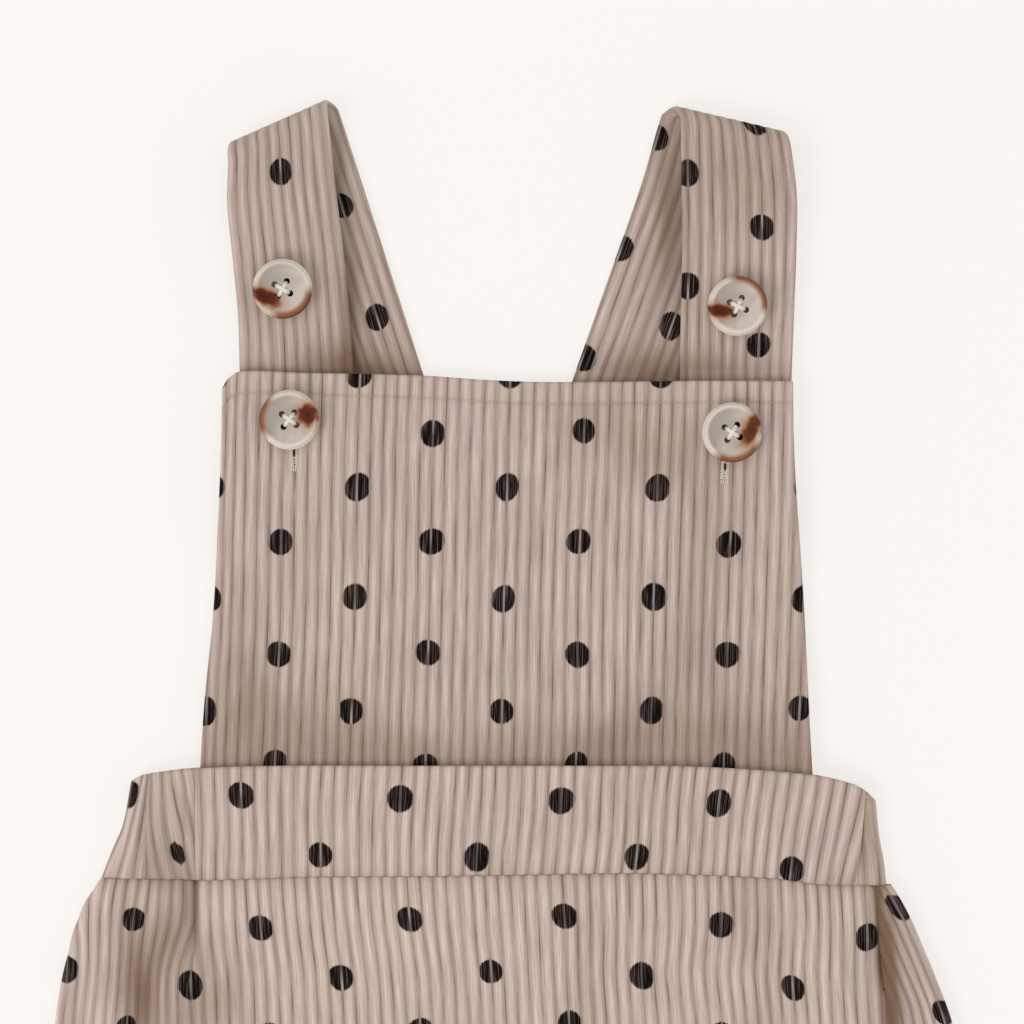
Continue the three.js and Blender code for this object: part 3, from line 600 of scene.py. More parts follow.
# Creases are x, y, turn, length, width, height.
bib = {
    "dotX": -24.6, "dotY": 45.8,   # a dot's middle, on a furrow
    "spacing": 0.985,              # wales drawn in a little by the wash
    "lean": 0.0265,                # the cloth was cut slightly off the wales
    "low": 4, "high": 129,
    "length": 126,
    "creases": [
        (-34, 33, 88, 120, 11, 1.5), (40, 32, 92, 110, 10, 1.6), (48, 34, -30, 56, 7, -0.9),
        (57, 38, -28, 60, 8, 0.8), (-62, 52, 4, 70, 9, 0.7), (-48, 66, 2, 66, 6, 0.6),
        (-14, 84, -2, 70, 9, 0.5), (8, 72, 3, 60, 7, -0.5), (30, 88, -5, 50, 8, 0.5),
        (-74, 92, 6, 30, 6, -0.4), (70, 88, -8, 34, 6, -0.5), (42, 112, 24, 34, 11, -0.7),
        (-66, 25, 82, 52, 9, -1.1), (-36, 22, 64, 30, 8, -1.0), (33, 24, -48, 36, 7, -1.3),
        (72, 26, -84, 44, 9, -0.8), (-80, 46, 20, 34, 5, -0.7), (-84, 74, 10, 30, 4, -0.5),
        (-30, 98, 40, 40, 7, -0.5), (60, 62, -12, 40, 6, -0.5),
    ],
    "height": 3.45, "overStrap": 2.5,
    # up to where the straps' crossing lies below it, and from where the buttoned ends do: aside, up
    "cross": ((40, 62), (70, 96)), "ends": ((33, 45), (66, 86)),
    "sagAtNeck": 0.9, "neck": ((2, 14), (104, 124)),
    "sagAtSides": 0.7, "sides": ((80, 90), (60, 84)),
    "behindBand": 8, "bandGap": 0.3, "leavesBand": (15, 56),
    "creasedFrom": (12.6, 22), "creasedTo": (100, 118),
    "wander": (31, 12, 23, 1.3),
    "turned": 1.4,                 # cloth that rolls down at the left edge
    "hemBelow": 6.5, "hemWide": 0.75, "hemDeep": 0.35, "hemShade": 0.17,    # the top hem's line
    "tint": 0.045,
    "shade": [
        (-66, 28, 26, 10, 0.24), (20, 24, 40, 7, 0.2), (68, 26, 18, 11, 0.22), (26, 116, 16, 9, 0.2),
        (44, 104, 14, 12, 0.18), (58, 84, 10, 22, 0.2), (-80, 44, 9, 22, 0.2), (-66, 72, 9, 20, 0.12),
        (88, 50, 5, 60, 0.16), (58, 46, 12, 12, 0.14), (-28, 42, 14, 8, 0.1),
    ],
}


def hemGroove(x, y):
    return bell(curveThrough(bibTop, x) - y - bib["hemBelow"], bib["hemWide"])


def bibHeight(x, y):
    side = np.abs(x)

    def rampsAt(place):
        return ramp(*bib[place][0], side), ramp(*bib[place][1], y)

    crossAside, crossUp = rampsAt("cross")
    endsAside, endsUp = rampsAt("ends")
    neckAside, neckUp = rampsAt("neck")
    sidesAside, sidesUp = rampsAt("sides")
    onCross = (1 - crossAside) * (1 - crossUp)
    sagAtNeck = bib["sagAtNeck"] * (1 - neckAside) * neckUp
    sagAtSides = bib["sagAtSides"] * sidesAside * (1 - sidesUp)
    lifted = bib["overStrap"] * either(onCross, endsAside * endsUp)
    inView = bib["height"] + lifted - sagAtNeck - sagAtSides
    behindBand = bandHeight(x) - (cloth["band"] + cloth["bib"]) / 2 - bib["bandGap"]
    relief = creaseHeight(bib["creases"], x, y)[0]
    relief = relief * ramp(*bib["creasedFrom"], y) * (1 - ramp(*bib["creasedTo"], y))
    return mix(behindBand, inView, ramp(*bib["leavesBand"], y)) + relief - bib["hemDeep"] * hemGroove(x, y)


def bibPlace(across, v):
    y = mix(bib["low"], bib["high"], v)
    for _ in range(3):
        x = bib["dotX"] + bib["spacing"] * across + bib["lean"] * (y - bib["dotY"])
        x = x + wander(across, y, *bib["wander"])
        fromLeft = x - curveThrough(bibLeft, y) + bib["turned"]
        x = x + bib["turned"] * (1 - ramp(0, 9, fromLeft))
        y = mix(curveThrough(bandTop, x) - bib["behindBand"], curveThrough(bibTop, x), v)
    # painted shade: a little over the whole bib, in the creases' troughs, just above the waistband where its
    # edge shades the bib, in listed patches and along the hem's groove
    paintedShade = np.minimum(creaseHeight(bib["creases"], x, y)[1], 1.5)
    tint = bib["tint"] + 0.36 * ramp(28, 12, y) + 0.12 * paintedShade
    tint = tint + shadeOver(bib["shade"], x, y) + bib["hemShade"] * hemGroove(x, y)
    return np.stack([x, y, bibHeight(x, y), tint], -1)


def bibEdge(rows, side, turned):
    y = mix(bib["low"], bib["high"], rows)
    x = curveThrough(side, y) - turned
    return (x - bib["dotX"] - bib["lean"] * (y - bib["dotY"])) / bib["spacing"]


def bibUv(across, v):
    return across, bibPlace(across, v)[..., 1] - bib["dotY"]


hemRows = 1 - (bib["hemBelow"] + bib["hemWide"] * np.arange(-2, 3)) / bib["length"]
bibRows = np.sort(np.concatenate([evenRows(bib["length"], 2.6), hemRows]))
bibPiece = sewSheet("corduroy_bib", bibPlace, bibEdge(bibRows, bibLeft, bib["turned"]),
                    bibEdge(bibRows, bibRight, 0), bibRows, bib["length"], cloth["bib"], bibUv)

frontBand = {
    "dotX": -80.4, "dotBelowTop": 9.0,
    "spacing": 1.03, "spacingTop": 0.024,   # the band is stretched a little along its top
    "lean": 3.2,                            # of the wales at its right end
    "printSlant": 0.011, "printSlantRight": 0.055, "printPace": 0.975,
    "length": 33.5,
    "seamLeft": -94.2, "seamRightFoot": 104.2, "seamRightTop": 106.8,
    "endLeft": -13, "endRight": 178,        # across the cloth, about where its seams are
    "puff": 0.5, "ripple": 0.25,
    "tint": 0.04,
}


def rightSeamAt(v):
    return mix(frontBand["seamRightFoot"], frontBand["seamRightTop"], v)


def bandY(xFoot, xTop, v):
    return mix(curveThrough(waistSeam, xFoot) + cloth["seamGap"] / 2, curveThrough(bandTop, xTop), v)


def frontBandX(across, v):
    lean = frontBand["lean"] * ramp(150, 190, across) * (v - 0.3)
    return frontBand["dotX"] + (frontBand["spacing"] + frontBand["spacingTop"] * v) * across + lean


def frontBandPlace(across, v):
    ripple = frontBand["ripple"]
    x = frontBandX(across, v) + ripple * np.sin(v * 5 + across / 17)
    y = bandY(frontBandX(across, 0), frontBandX(across, 1), v)
    puff = frontBand["puff"] * np.sin(math.pi * np.clip(v, 0, 1))
    puff = puff + ripple * np.sin(across / 9.7) * np.sin(across / 6.1 + 1)
    fromSide = np.minimum(x - frontBand["seamLeft"], rightSeamAt(v) - x)
    sink = np.maximum(seamSink(v * frontBand["length"]), seamSink(fromSide))
    # the band gets an even painted shade over the whole piece
    return np.stack([x, y, bandHeight(x) + puff - sink, 0 * x + frontBand["tint"]], -1)


def frontBandUv(across, v):
    x = frontBandX(across, v)
    below = curveThrough(bandTop, x) - bandY(x, x, v)
    slant = frontBand["printSlant"] * (x - frontBand["dotX"])
    slant = slant + frontBand["printSlantRight"] * np.maximum(x - 60, 0)
    return across, -(below - frontBand["dotBelowTop"] - slant) * frontBand["printPace"]


bandRows = evenRows(frontBand["length"], 2.4)
seamInset = cloth["seamGap"] / 2
leftSeam = np.full(len(bandRows), frontBand["seamLeft"])
rightSeam = rightSeamAt(bandRows)
leftEdge = edgeAt(frontBandPlace, bandRows, frontBand["endLeft"], leftSeam + seamInset)
rightEdge = edgeAt(frontBandPlace, bandRows, frontBand["endRight"], rightSeam - seamInset)
frontBandPiece = sewSheet("corduroy_front_waistband", frontBandPlace, leftEdge, rightEdge, bandRows,
                          frontBand["length"], cloth["band"], frontBandUv, ribbed=(1, 1),
                          seams=(0.6, 0.1, 1, 0))

# The back waistband wraps round both sides. On the left its strip is creased where the side folds over.
backBand = {
    "foldRadius": 1.6,
    "roundLeft": 17, "roundRight": 4,     # cloth over which a strip rises from its side's fold
    "tuckDepth": 1.5,
    "turnLeft": -21.0,        # across the cloth, where the left strip starts to fold under
    "under": 273.4,           # cloth on the underside, drawn in by the elastic
    "dotY": -14.5, "printPace": 0.965,
    "length": 33.5,
    "keys": [-21, -14, -9, -2, 2, 14.5], "levels": [0, 0.5, 1],
    "places": [
        [-120.2, -112.1, -106.3, -98.2, -97.3, -84.9],
        [-115.0, -110.2, -108.6, -102.0, -100.6, -89.0],
        [-111.2, -108.8, -108.3, -104.0, -103.6, -92.4],
    ],
    "tucks": {1: {"x": [-109, -109.4, -108.5], "width": 1.3, "pace": 1, "deep": 0.8},
              3: {"x": [-97.8, -101.3, -103.8], "width": 1.2, "pace": 1, "deep": 0.9}},
    "creases": [
        (-106.2, -5.4, 9, 28, 1.7, 0.6), (-99.8, -2, 9, 24, 1.8, 0.6), (-97.6, -5, -2, 26, 1.2, -0.5),
        (-113, -12, -14, 22, 2.4, 0.6),
    ],
    "shade": [
        (-100, -18, 9, 8, 0.3), (-108, -12, 5, 14, 0.3), (-96, -4, 4, 10, 0.15), (105, -6, 3, 15, 0.6),
        (110, -16, 4, 10, 0.2),
    ],
    "gathers": [
        (-96, -4, 2, 60, 3.5, 0.9), (-81, -6, -3, 60, 3, 0.7), (-63, -3, 1, 60, 4, 1.0),
        (-47, -6, 4, 60, 3, 0.6), (-33, -4, -2, 60, 3.6, 0.9), (-15, -5, 2, 60, 3, 0.7),
        (1, -4, -1, 60, 4, 1.0), (18, -6, 3, 60, 3, 0.8), (33, -4, -4, 60, 3.4, 0.9),
        (52, -5, 2, 60, 3, 0.6), (66, -3, -1, 60, 4, 1.0), (84, -6, 3, 60, 3.2, 0.8),
    ],
}
backBand["foldLength"] = math.pi * backBand["foldRadius"]
backBand["underLeft"] = backBand["turnLeft"] - backBand["foldLength"]
backBand["underRight"] = backBand["underLeft"] - backBand["under"]
backBand["turnRight"] = backBand["underRight"] - backBand["foldLength"]


def backBandPlace(across, v):
    low = cloth["band"] / 2
    fold = low + backBand["foldRadius"]
    row = mix(bandLeft[0][0], bandLeft[-1][0], v)
    sideL, sideR = curveThrough(bandLeft, row), curveThrough(bandRight, row)
    onLeft = across > backBand["underLeft"] - backBand["under"] / 2
    turn = np.where(onLeft, sideL + fold, sideR - fold)
    away = np.where(onLeft, -1, 1)
    onStrip = np.clip(across, backBand["keys"][0], backBand["keys"][-1])
    strip, dip = spreadAcross(backBand, onStrip, np.clip(v, 0, 1))
    past = np.where(onLeft, backBand["turnLeft"] - across, across - backBand["turnRight"])
    angle = np.clip(past / backBand["foldRadius"], 0, math.pi)
    xFold = turn + away * backBand["foldRadius"] * np.sin(angle)
    zFold = low + backBand["foldRadius"] * (1 + np.cos(angle))
    underShare = np.clip((backBand["underLeft"] - across) / backBand["under"], 0, 1)
    xUnder = mix(sideL + fold, sideR - fold, underShare)
    onTop = past < 0
    isUnder = (across < backBand["underLeft"]) & (across > backBand["underRight"])
    x = np.where(onTop, np.where(onLeft, strip, turn + past), np.where(isUnder, xUnder, xFold))
    y = bandY(x, x, v)
    share = np.clip(1 + past / np.where(onLeft, backBand["roundLeft"], backBand["roundRight"]), 0, 1)
    zStrip = mix(bandHeight(x), low + 2 * backBand["foldRadius"], ramp(0.3, 1, share))
    relief, paintedShade = creaseHeight(backBand["creases"], x, y)
    seamX = np.where(onLeft, frontBand["seamLeft"], rightSeamAt(v))
    sink = np.maximum(seamSink(v * backBand["length"]), seamSink(x - seamX))
    creased = np.where(onLeft, relief - backBand["tuckDepth"] * dip, 0)
    zStrip = zStrip + creased * (1 - ramp(0.8, 1, share)) - sink
    zUnder = low + creaseHeight(backBand["gathers"], x, y)[0] * np.sin(math.pi * np.clip(v, 0, 1))
    z = np.where(onTop, zStrip, np.where(isUnder, zUnder, zFold))
    # painted shade in the strip's tucks and creases and in listed patches
    shade = 0.55 * dip ** 2 + 0.3 * paintedShade + shadeOver(backBand["shade"], x, y)
    return np.stack([x, y, z, np.where(onTop, shade, 0)], -1)


def backBandUv(across, v):
    return across, (backBandPlace(across, v)[..., 1] - backBand["dotY"]) * backBand["printPace"]


rightEnd = edgeAt(backBandPlace, bandRows, backBand["turnRight"] - 4, rightSeam + seamInset)
leftEnd = edgeAt(backBandPlace, bandRows, 9, leftSeam - seamInset)
backBandPiece = sewSheet("corduroy_back_waistband", backBandPlace, rightEnd, leftEnd, bandRows,
                         backBand["length"], cloth["band"], backBandUv, ribbed=(1, 1),
                         seams=(0.1, 0.6, 1, 0))

# The legs' front turns under at both sides. There is a crease in it below each end of the front waistband.
legs = {
    "foldRadius": 1.75,
    "turnLeft": [(-21, -101.3), (-34, -107.6), (-50, -113), (-66, -114.2), (-90, -115)],  # level, across
    "turnRight": 163.4,
    "turnUnder": 7.4,
    "dotBelowSeam": 13.8,
    "takenUp": 1.6,                         # print that the waist seam takes up
    "lower": 8.6, "lowerPace": 0.06,        # the print sits lower beyond the right crease
    "puff": 1.2, "puffBelow": 80, "puffReach": 50,
    "tuckDepth": 2.3,
    "waistReach": 24, "hemReach": 16, "sideReach": (3, 16), "crotchReach": (30, 46),
    "crotchGap": 0.3,
    "wander": (29, 11, 19, 0),
    "length": 180,
    "keys": [-91.2, -72.2, -65.2, -45.6, 0, 45.6, 91.2, 136.8, 141],
    "levels": [-90, -66, -50, -42, -34, -21],
    "places": [
        [-116, -98.6, -91.6, -71.5, -26, 18.6, 64.5, 111, 115.5],
        [-115.2, -99.4, -92.4, -72.9, -27, 18.0, 63.6, 107.8, 112.2],
        [-114.6, -99.6, -93.0, -73.4, -27.9, 17.0, 62.0, 106.9, 111.6],
        [-114.1, -97.4, -94.0, -74.2, -28.8, 16.6, 62.7, 107.0, 111.3],
        [-113.5, -94.9, -94.4, -74.9, -29.7, 16.2, 63.3, 107.0, 111.0],
        [-111.5, -94.7, -94.3, -75.8, -30.6, 15.4, 63.0, 106.4, 110.2],
    ],
    "tucks": {1: {"x": [-98.6, -99.4, -96, -94.8, -94.6, -94.5], "width": 1.3, "pace": 1, "deep": 0.6},
              8: {"x": [115.5, 112.2, 111.6, 111.3, 111.0, 110.2], "width": 2.2, "pace": 0.76, "deep": 1}},
    "shade": [
        (-111, -48, 5, 15, 0.4), (-101, -40, 6.5, 14, 0.36), (-96.5, -28, 3, 8, 0.3),
        (-104, -66, 10, 14, 0.3), (-88, -60, 10, 16, 0.26), (66, -30, 7, 10, 0.22),
        (113.8, -48, 2.2, 16, 0.75), (115.5, -66, 3, 18, 0.6), (121, -58, 4, 18, 0.2),
        (-104, -22, 10, 4, 0.2), (121, -34, 5, 10, 0.15),
    ],
    # how far the print rides up, by place in plan
    "printRides": [
        (-138, 2.6), (-132, 2.5), (-113, 1.9), (-100, 0), (-96, -0.6), (-75, -0.9), (-50, 0.3), (-29, 0.6),
        (-5, 1.6), (16, 1.6), (39, -0.2), (63, -0.6), (84, -2.1), (107, -1.9), (114, -1.9),
    ],
    "creases": [
        (-97, -34, 3, 26, 4, -0.8), (-113, -54, 9, 52, 4.5, -1.7), (-106.4, -47, -13, 34, 3.6, -1.1),
        (-101, -58, -6, 60, 5, 0.9), (-123.5, -53, 11, 64, 5.5, 1.7), (-131, -70, 8, 50, 3.5, -0.9),
        (-94, -66, -4, 50, 5, -0.5), (-29, -70, 2, 70, 9, 0.9), (14, -58, 1, 80, 8, 0.9),
        (24, -52, 1, 66, 6, -0.8), (77, -50, 3, 60, 7, -0.9), (99, -62, 3, 74, 7, 1.2),
        (113.5, -52, 4, 66, 5, -1.4), (124, -66, 12, 66, 6, 1), (-88, -150, -24, 58, 9, 1.3),
        (-66, -162, -18, 50, 8, -0.9), (-40, -168, -10, 52, 8, 1), (44, -166, 12, 54, 8, 1.1),
        (69, -158, 20, 50, 8, -0.9), (92, -148, 26, 60, 9, 1.3),
    ],
}
legFold = cloth["panel"] / 2 + legs["foldRadius"]
legTurned = math.pi * legs["foldRadius"]     # cloth round a side's fold
legs["keys"].append(legs["turnRight"])
for level, row in zip(legs["levels"], legs["places"]):
    row.append(float(curveThrough(legRight, level)) - legFold)
legTop, legFoot = legs["levels"][-1], legs["levels"][0]     # below the foot the legs narrow to the hem
legTurn = legs["turnLeft"][-1][1]
legMiddle = (legTurn + legs["turnRight"]) / 2
legHemShare = (hem[-1][0] - legFold) / (legs["turnRight"] - legMiddle)


def legHeight(x, y, dip):
    below = curveThrough(waistSeam, x) - y
    nearWaist = bell(below, legs["waistReach"])
    nearHem = bell(y - curveThrough(hem, x), legs["hemReach"])
    puff = legs["puff"] * bell(below - legs["puffBelow"], legs["puffReach"])
    height = mix(heights["legSide"] + puff, bandHeight(x), nearWaist)
    relief, paintedShade = creaseHeight(legs["creases"], x, y)
    height = height + relief * (1 - nearWaist ** 3) * (1 - nearHem) - legs["tuckDepth"] * dip
    inFromSide = np.minimum(x - curveThrough(legLeft, y), curveThrough(legRight, y) - x)
    nearSide = 1 - ramp(*legs["sideReach"], inFromSide)
    height = mix(height, mix(heights["legSide"], heights["bandSide"], nearWaist), nearSide)
    crotch = nearHem * (1 - ramp(*legs["crotchReach"], np.abs(x)))
    # painted shade in the troughs and tucks, and in listed patches
    tint = np.clip(0.2 * paintedShade, 0, 0.5) * ramp(-150, -110, y) + 0.75 * dip ** 1.5
    tint = tint + shadeOver(legs["shade"], x, y)
    return mix(height, cloth["panel"] * 1.5 + legs["crotchGap"], crotch) - seamSink(below), tint


def legX(across, y, yHem):
    turnLeft = curveThrough(legs["turnLeft"], y)
    first, last = legs["keys"][0], legs["keys"][-1]
    x, dip = spreadAcross(legs, np.clip(across, first, last), np.maximum(y, legFoot))
    atSide = np.clip((first - across) / (first - turnLeft), 0, 1)
    x = mix(x, curveThrough(legLeft, y) + legFold, atSide)
    down = np.clip((legFoot - y) / (legFoot - yHem), 0, 1)
    inside = np.clip(across, turnLeft, last)
    return mix(x, (inside - legMiddle) * legHemShare, down ** 2.2), dip * (1 - down), turnLeft


def frontLegsPlace(across, v):
    low = cloth["panel"] / 2
    onLeft = across < legMiddle
    away = np.where(onLeft, -1, 1)

    # how far a place is past its side's fold, and how far it has come back inward below it
    def pastFold(turnLeft):
        past = np.where(onLeft, turnLeft - across, across - legs["turnRight"])
        return past, np.maximum(past - legTurned, 0)

    # the hem and the waist end of this wale, then the place between them
    inward = pastFold(legTurn)[1]
    xHem = (np.clip(across, legTurn, legs["turnRight"]) - legMiddle) * legHemShare - away * inward
    yHem = curveThrough(hem, xHem)
    waistX, _, waistTurn = legX(across, np.full_like(across, legTop), yHem)
    xWaist = waistX - away * pastFold(waistTurn)[1]
    y = mix(yHem, curveThrough(waistSeam, xWaist) - cloth["seamGap"] / 2, v)
    turn, dip, turnLeft = legX(across, y, yHem)
    past, inward = pastFold(turnLeft)
    z, tint = legHeight(turn, y, dip)
    radius = (z - low) / 2
    angle = np.clip(past / legs["foldRadius"], 0, math.pi)
    folded = turn + away * (radius * np.sin(angle) - inward)
    x = np.where(past > 0, folded, turn + wander(across, y, *legs["wander"]) * ramp(0, 14, -past))
    z = np.where(past > 0, low + radius * (1 + np.cos(angle)), z)
    return np.stack([x, y, z, np.where(past > 0, 0, tint)], -1)


def frontLegsUv(across, v):
    point = frontLegsPlace(across, v)
    below = curveThrough(waistSeam, point[..., 0]) - point[..., 1]
    beyond = ramp(141, 144, across)     # the right crease
    takenUp = legs["takenUp"] * bell(below, 4) * (1 - beyond)
    lower = (legs["lower"] - legs["lowerPace"] * below) * beyond
    rides = curveThrough(legs["printRides"], point[..., 0]) * mix(ramp(0, 12, below), 1, beyond)
    return across - cloth["wale"] * beyond, -(below + rides + takenUp - legs["dotBelowSeam"] - lower)


legRows = evenRows(legs["length"], 3.0)
legLevels = mix(hem[len(hem) // 2][1], legTop, legRows)
legStart = curveThrough(legs["turnLeft"], legLevels) - legTurned - legs["turnUnder"]
legEnd = np.full(len(legRows), legs["turnRight"] + legTurned + legs["turnUnder"])
frontLegsPiece = sewSheet("corduroy_front_panel", frontLegsPlace, legStart, legEnd, legRows, legs["length"],
                          cloth["panel"], frontLegsUv, seams=(1, 1, 0, 1))

backLegs = {
    "cloth": 262.0,
    "turnUnder": 10,
    "dotX": 7.6, "dotBelowSeam": 11,
    "gathers": [
        (-88, -40, 4, 50, 5, 0.9), (-62, -44, 2, 60, 6, 1.0), (-38, -38, -2, 46, 5, 0.8),
        (-10, -46, 1, 60, 6, 1.1), (19, -40, -1, 50, 5, 0.9), (44, -45, -3, 60, 6, 1.0),
        (71, -39, -2, 46, 5, 0.8), (93, -47, -5, 56, 6, 1.0),
        (-98, -150, -22, 52, 7, 1.2), (-70, -162, -18, 46, 6, 0.9), (-47, -170, -10, 44, 6, 1.0),
        (49, -168, 12, 44, 6, 1.0), (74, -160, 19, 48, 6, 1.1), (100, -148, 24, 50, 7, 1.0),
    ],
}
sideFoot = hem[0][1]     # the side seams end here


def backLegsX(u, level):
    inset = backLegs["turnUnder"] + cloth["seamGap"] / 2
    return mix(curveThrough(legLeft, level) + inset, curveThrough(legRight, level) - inset, u)


def backLegsPlace(across, v):
    u = 1 - across / backLegs["cloth"]
    x = backLegsX(u, mix(sideFoot, legTop, v))
    foot = curveThrough(hem, backLegsX(u, sideFoot))
    top = curveThrough(waistSeam, backLegsX(u, legTop))
    y = mix(foot, top - cloth["seamGap"] / 2, v)
    gathered = creaseHeight(backLegs["gathers"], x, y)[0] * np.sin(math.pi * np.clip(v, 0, 1)) ** 0.5
    return np.stack([x, y, cloth["panel"] / 2 + gathered, 0 * x], -1)


def backLegsUv(across, v):
    point = backLegsPlace(across, v)
    below = curveThrough(waistSeam, point[..., 0]) - point[..., 1]
    return across - backLegs["dotX"], below - backLegs["dotBelowSeam"]


backLegsPiece = sewSheet("corduroy_back_panel", backLegsPlace, np.zeros(len(legRows)),
                         np.full(len(legRows), backLegs["cloth"]), legRows, legs["length"], cloth["panel"],
                         backLegsUv, seams=(1, 1, 0, 1))

# Straps, as lines across them: outer edge x, y, z, then inner edge x, y, z.
straps = {
    "left": {
        "front": [
            (-80.6, 92, 3.35, -46.4, 92, 3.35), (-80.8, 112, 3.35, -46.6, 112, 3.35),
            (-81.3, 131, 3.4, -47.1, 131.6, 3.4), (-81.7, 147, 4.4, -48.4, 150, 4.2),
            (-83.3, 165, 6, -50.5, 171, 5.2), (-84.7, 181, 8.2, -52.8, 190, 5.9),
        ],
        "fold": {"out": (-81.7, 194.4, 4.6), "in": (-53.3, 209.3, 2.7), "slide": 1.6, "slideOut": 2.9},
        "back": [
            (-76.4, 177, 1, -44.4, 187, 1), (-67, 147, 1, -34.8, 157, 1), (-55, 108.5, 1, -22.6, 118.8, 1),
            (-43, 70.5, 1, -10.6, 80.8, 1), (-33, 39.5, 1, -0.6, 49.8, 1), (-28.4, 25, 2.6, 4, 35.3, 2.2),
            (-24.6, 13, 3.75, 7.8, 23.3, 3.6), (-18, -8, 3.75, 13.6, 2, 3.75),
            (-14.5, -16, 3.75, 17.6, -13.5, 3.75),
        ],
        "dotFront": (-68.8, 189.8),
        "dotBack": (-40.3, 147.4),
        "slack": 0,
        "tint": 0.11,
        "shade": [(-54, 134, 12, 6, 0.4), (-48, 150, 3.2, 26, 0.45), (-51.5, 190, 2.2, 14, 0.4),
                  (-38, 133, 14, 6, 0.25), (-42, 150, 12, 20, 0.16), (-68, 190, 14, 14, 0.1)],
    },
    "right": {
        "front": [
            (84.3, 88, 3.35, 50.3, 88, 3.35), (84.5, 108, 3.35, 50.6, 108, 3.35),
            (84.7, 129, 3.4, 51, 129, 3.4), (85.3, 146, 4.3, 51.3, 147.5, 4.1),
            (85.9, 165, 5.6, 51.7, 168.5, 5), (86, 183, 7.3, 51.4, 188.5, 5.8),
        ],
        "fold": {"out": (81.4, 198.0, 3.9), "in": (48.4, 207.2, 2.6), "slide": 2.9, "slideOut": 2.9},
        "back": [
            (72.3, 175.6, 1, 39.5, 187, 1), (61.8, 145.6, 1, 29, 157, 1), (48.9, 109.6, 1, 16.3, 121, 1),
            (40.3, 85.6, 1, 7.9, 97, 1), (33.2, 65.6, 1.5, 1, 77, 2.2), (25.8, 43.6, 3.2, -6.4, 55, 3.7),
            (20.9, 28.6, 5.05, -11.3, 40, 4.45), (16.8, 15.6, 6.1, -15.4, 27, 5.8),
            (9.8, -7.4, 6.1, -22, 3, 6.1), (7.4, -15.5, 6.1, -25.2, -12.5, 6.1),
        ],
        "dotFront": (75.5, 173.6),
        "dotBack": (33.7, 168.2),
        "slack": 2.4,
        "tint": 0.07,
        "shade": [(60, 133, 14, 5, 0.35), (48, 176, 4, 26, 0.5), (36, 133, 15, 7, 0.35),
                  (70, 192, 26, 26, 0.27), (44, 150, 10, 30, 0.2)],
    },
}
strapCloth = {
    "wales": 0.95,      # drawn in a little
    "pull": 0.957,      # and the cloth is pulled a little longer
    "underBib": 0.25, "bibEdge": (137, 129),    # shade where a strap comes out from behind the bib
    "pressed": 0.6, "pressedReach": 8,          # the wales are flattened in the fold
    "rowStep": 2.6, "foldRows": 36,
}
foldSteps = 17


def linesAcross(rows):
    return [(np.array(row[:3], float), np.array(row[3:], float)) for row in rows]


def strapEdges(strap):
    low = cloth["strap"] / 2
    lines = linesAcross(strap["front"])
    fold = strap["fold"]
    outer, inner = np.array(fold["out"], float), np.array(fold["in"], float)
    axis = np.append((inner - outer)[:2], 0)
    axis /= np.linalg.norm(axis)
    beyond = np.array([-axis[1], axis[0], 0])
    if beyond[1] < 0:
        beyond = -beyond
    for t in np.linspace(0, 1, foldSteps):
        angle = math.pi * t
        outerSlide = fold["slideOut"] if t < 0.5 else fold["slide"]
        line = []
        for end, slide in ((outer, outerSlide), (inner, fold["slide"])):
            radius = end[2]
            roll = np.array([end[0], end[1], low + radius * (1 + math.cos(angle))])
            line.append(roll + beyond * radius * math.sin(angle) + axis * slide * (2 * t - 1))
        lines.append(tuple(line))
    lines += linesAcross(strap["back"])
    middle = np.array([(a + b) / 2 for a, b in lines])
    run = np.concatenate([[0], np.cumsum(np.linalg.norm(np.diff(middle, axis=0), axis=1))])
    return run, np.array([a for a, b in lines]), np.array([b for a, b in lines]), len(strap["front"])


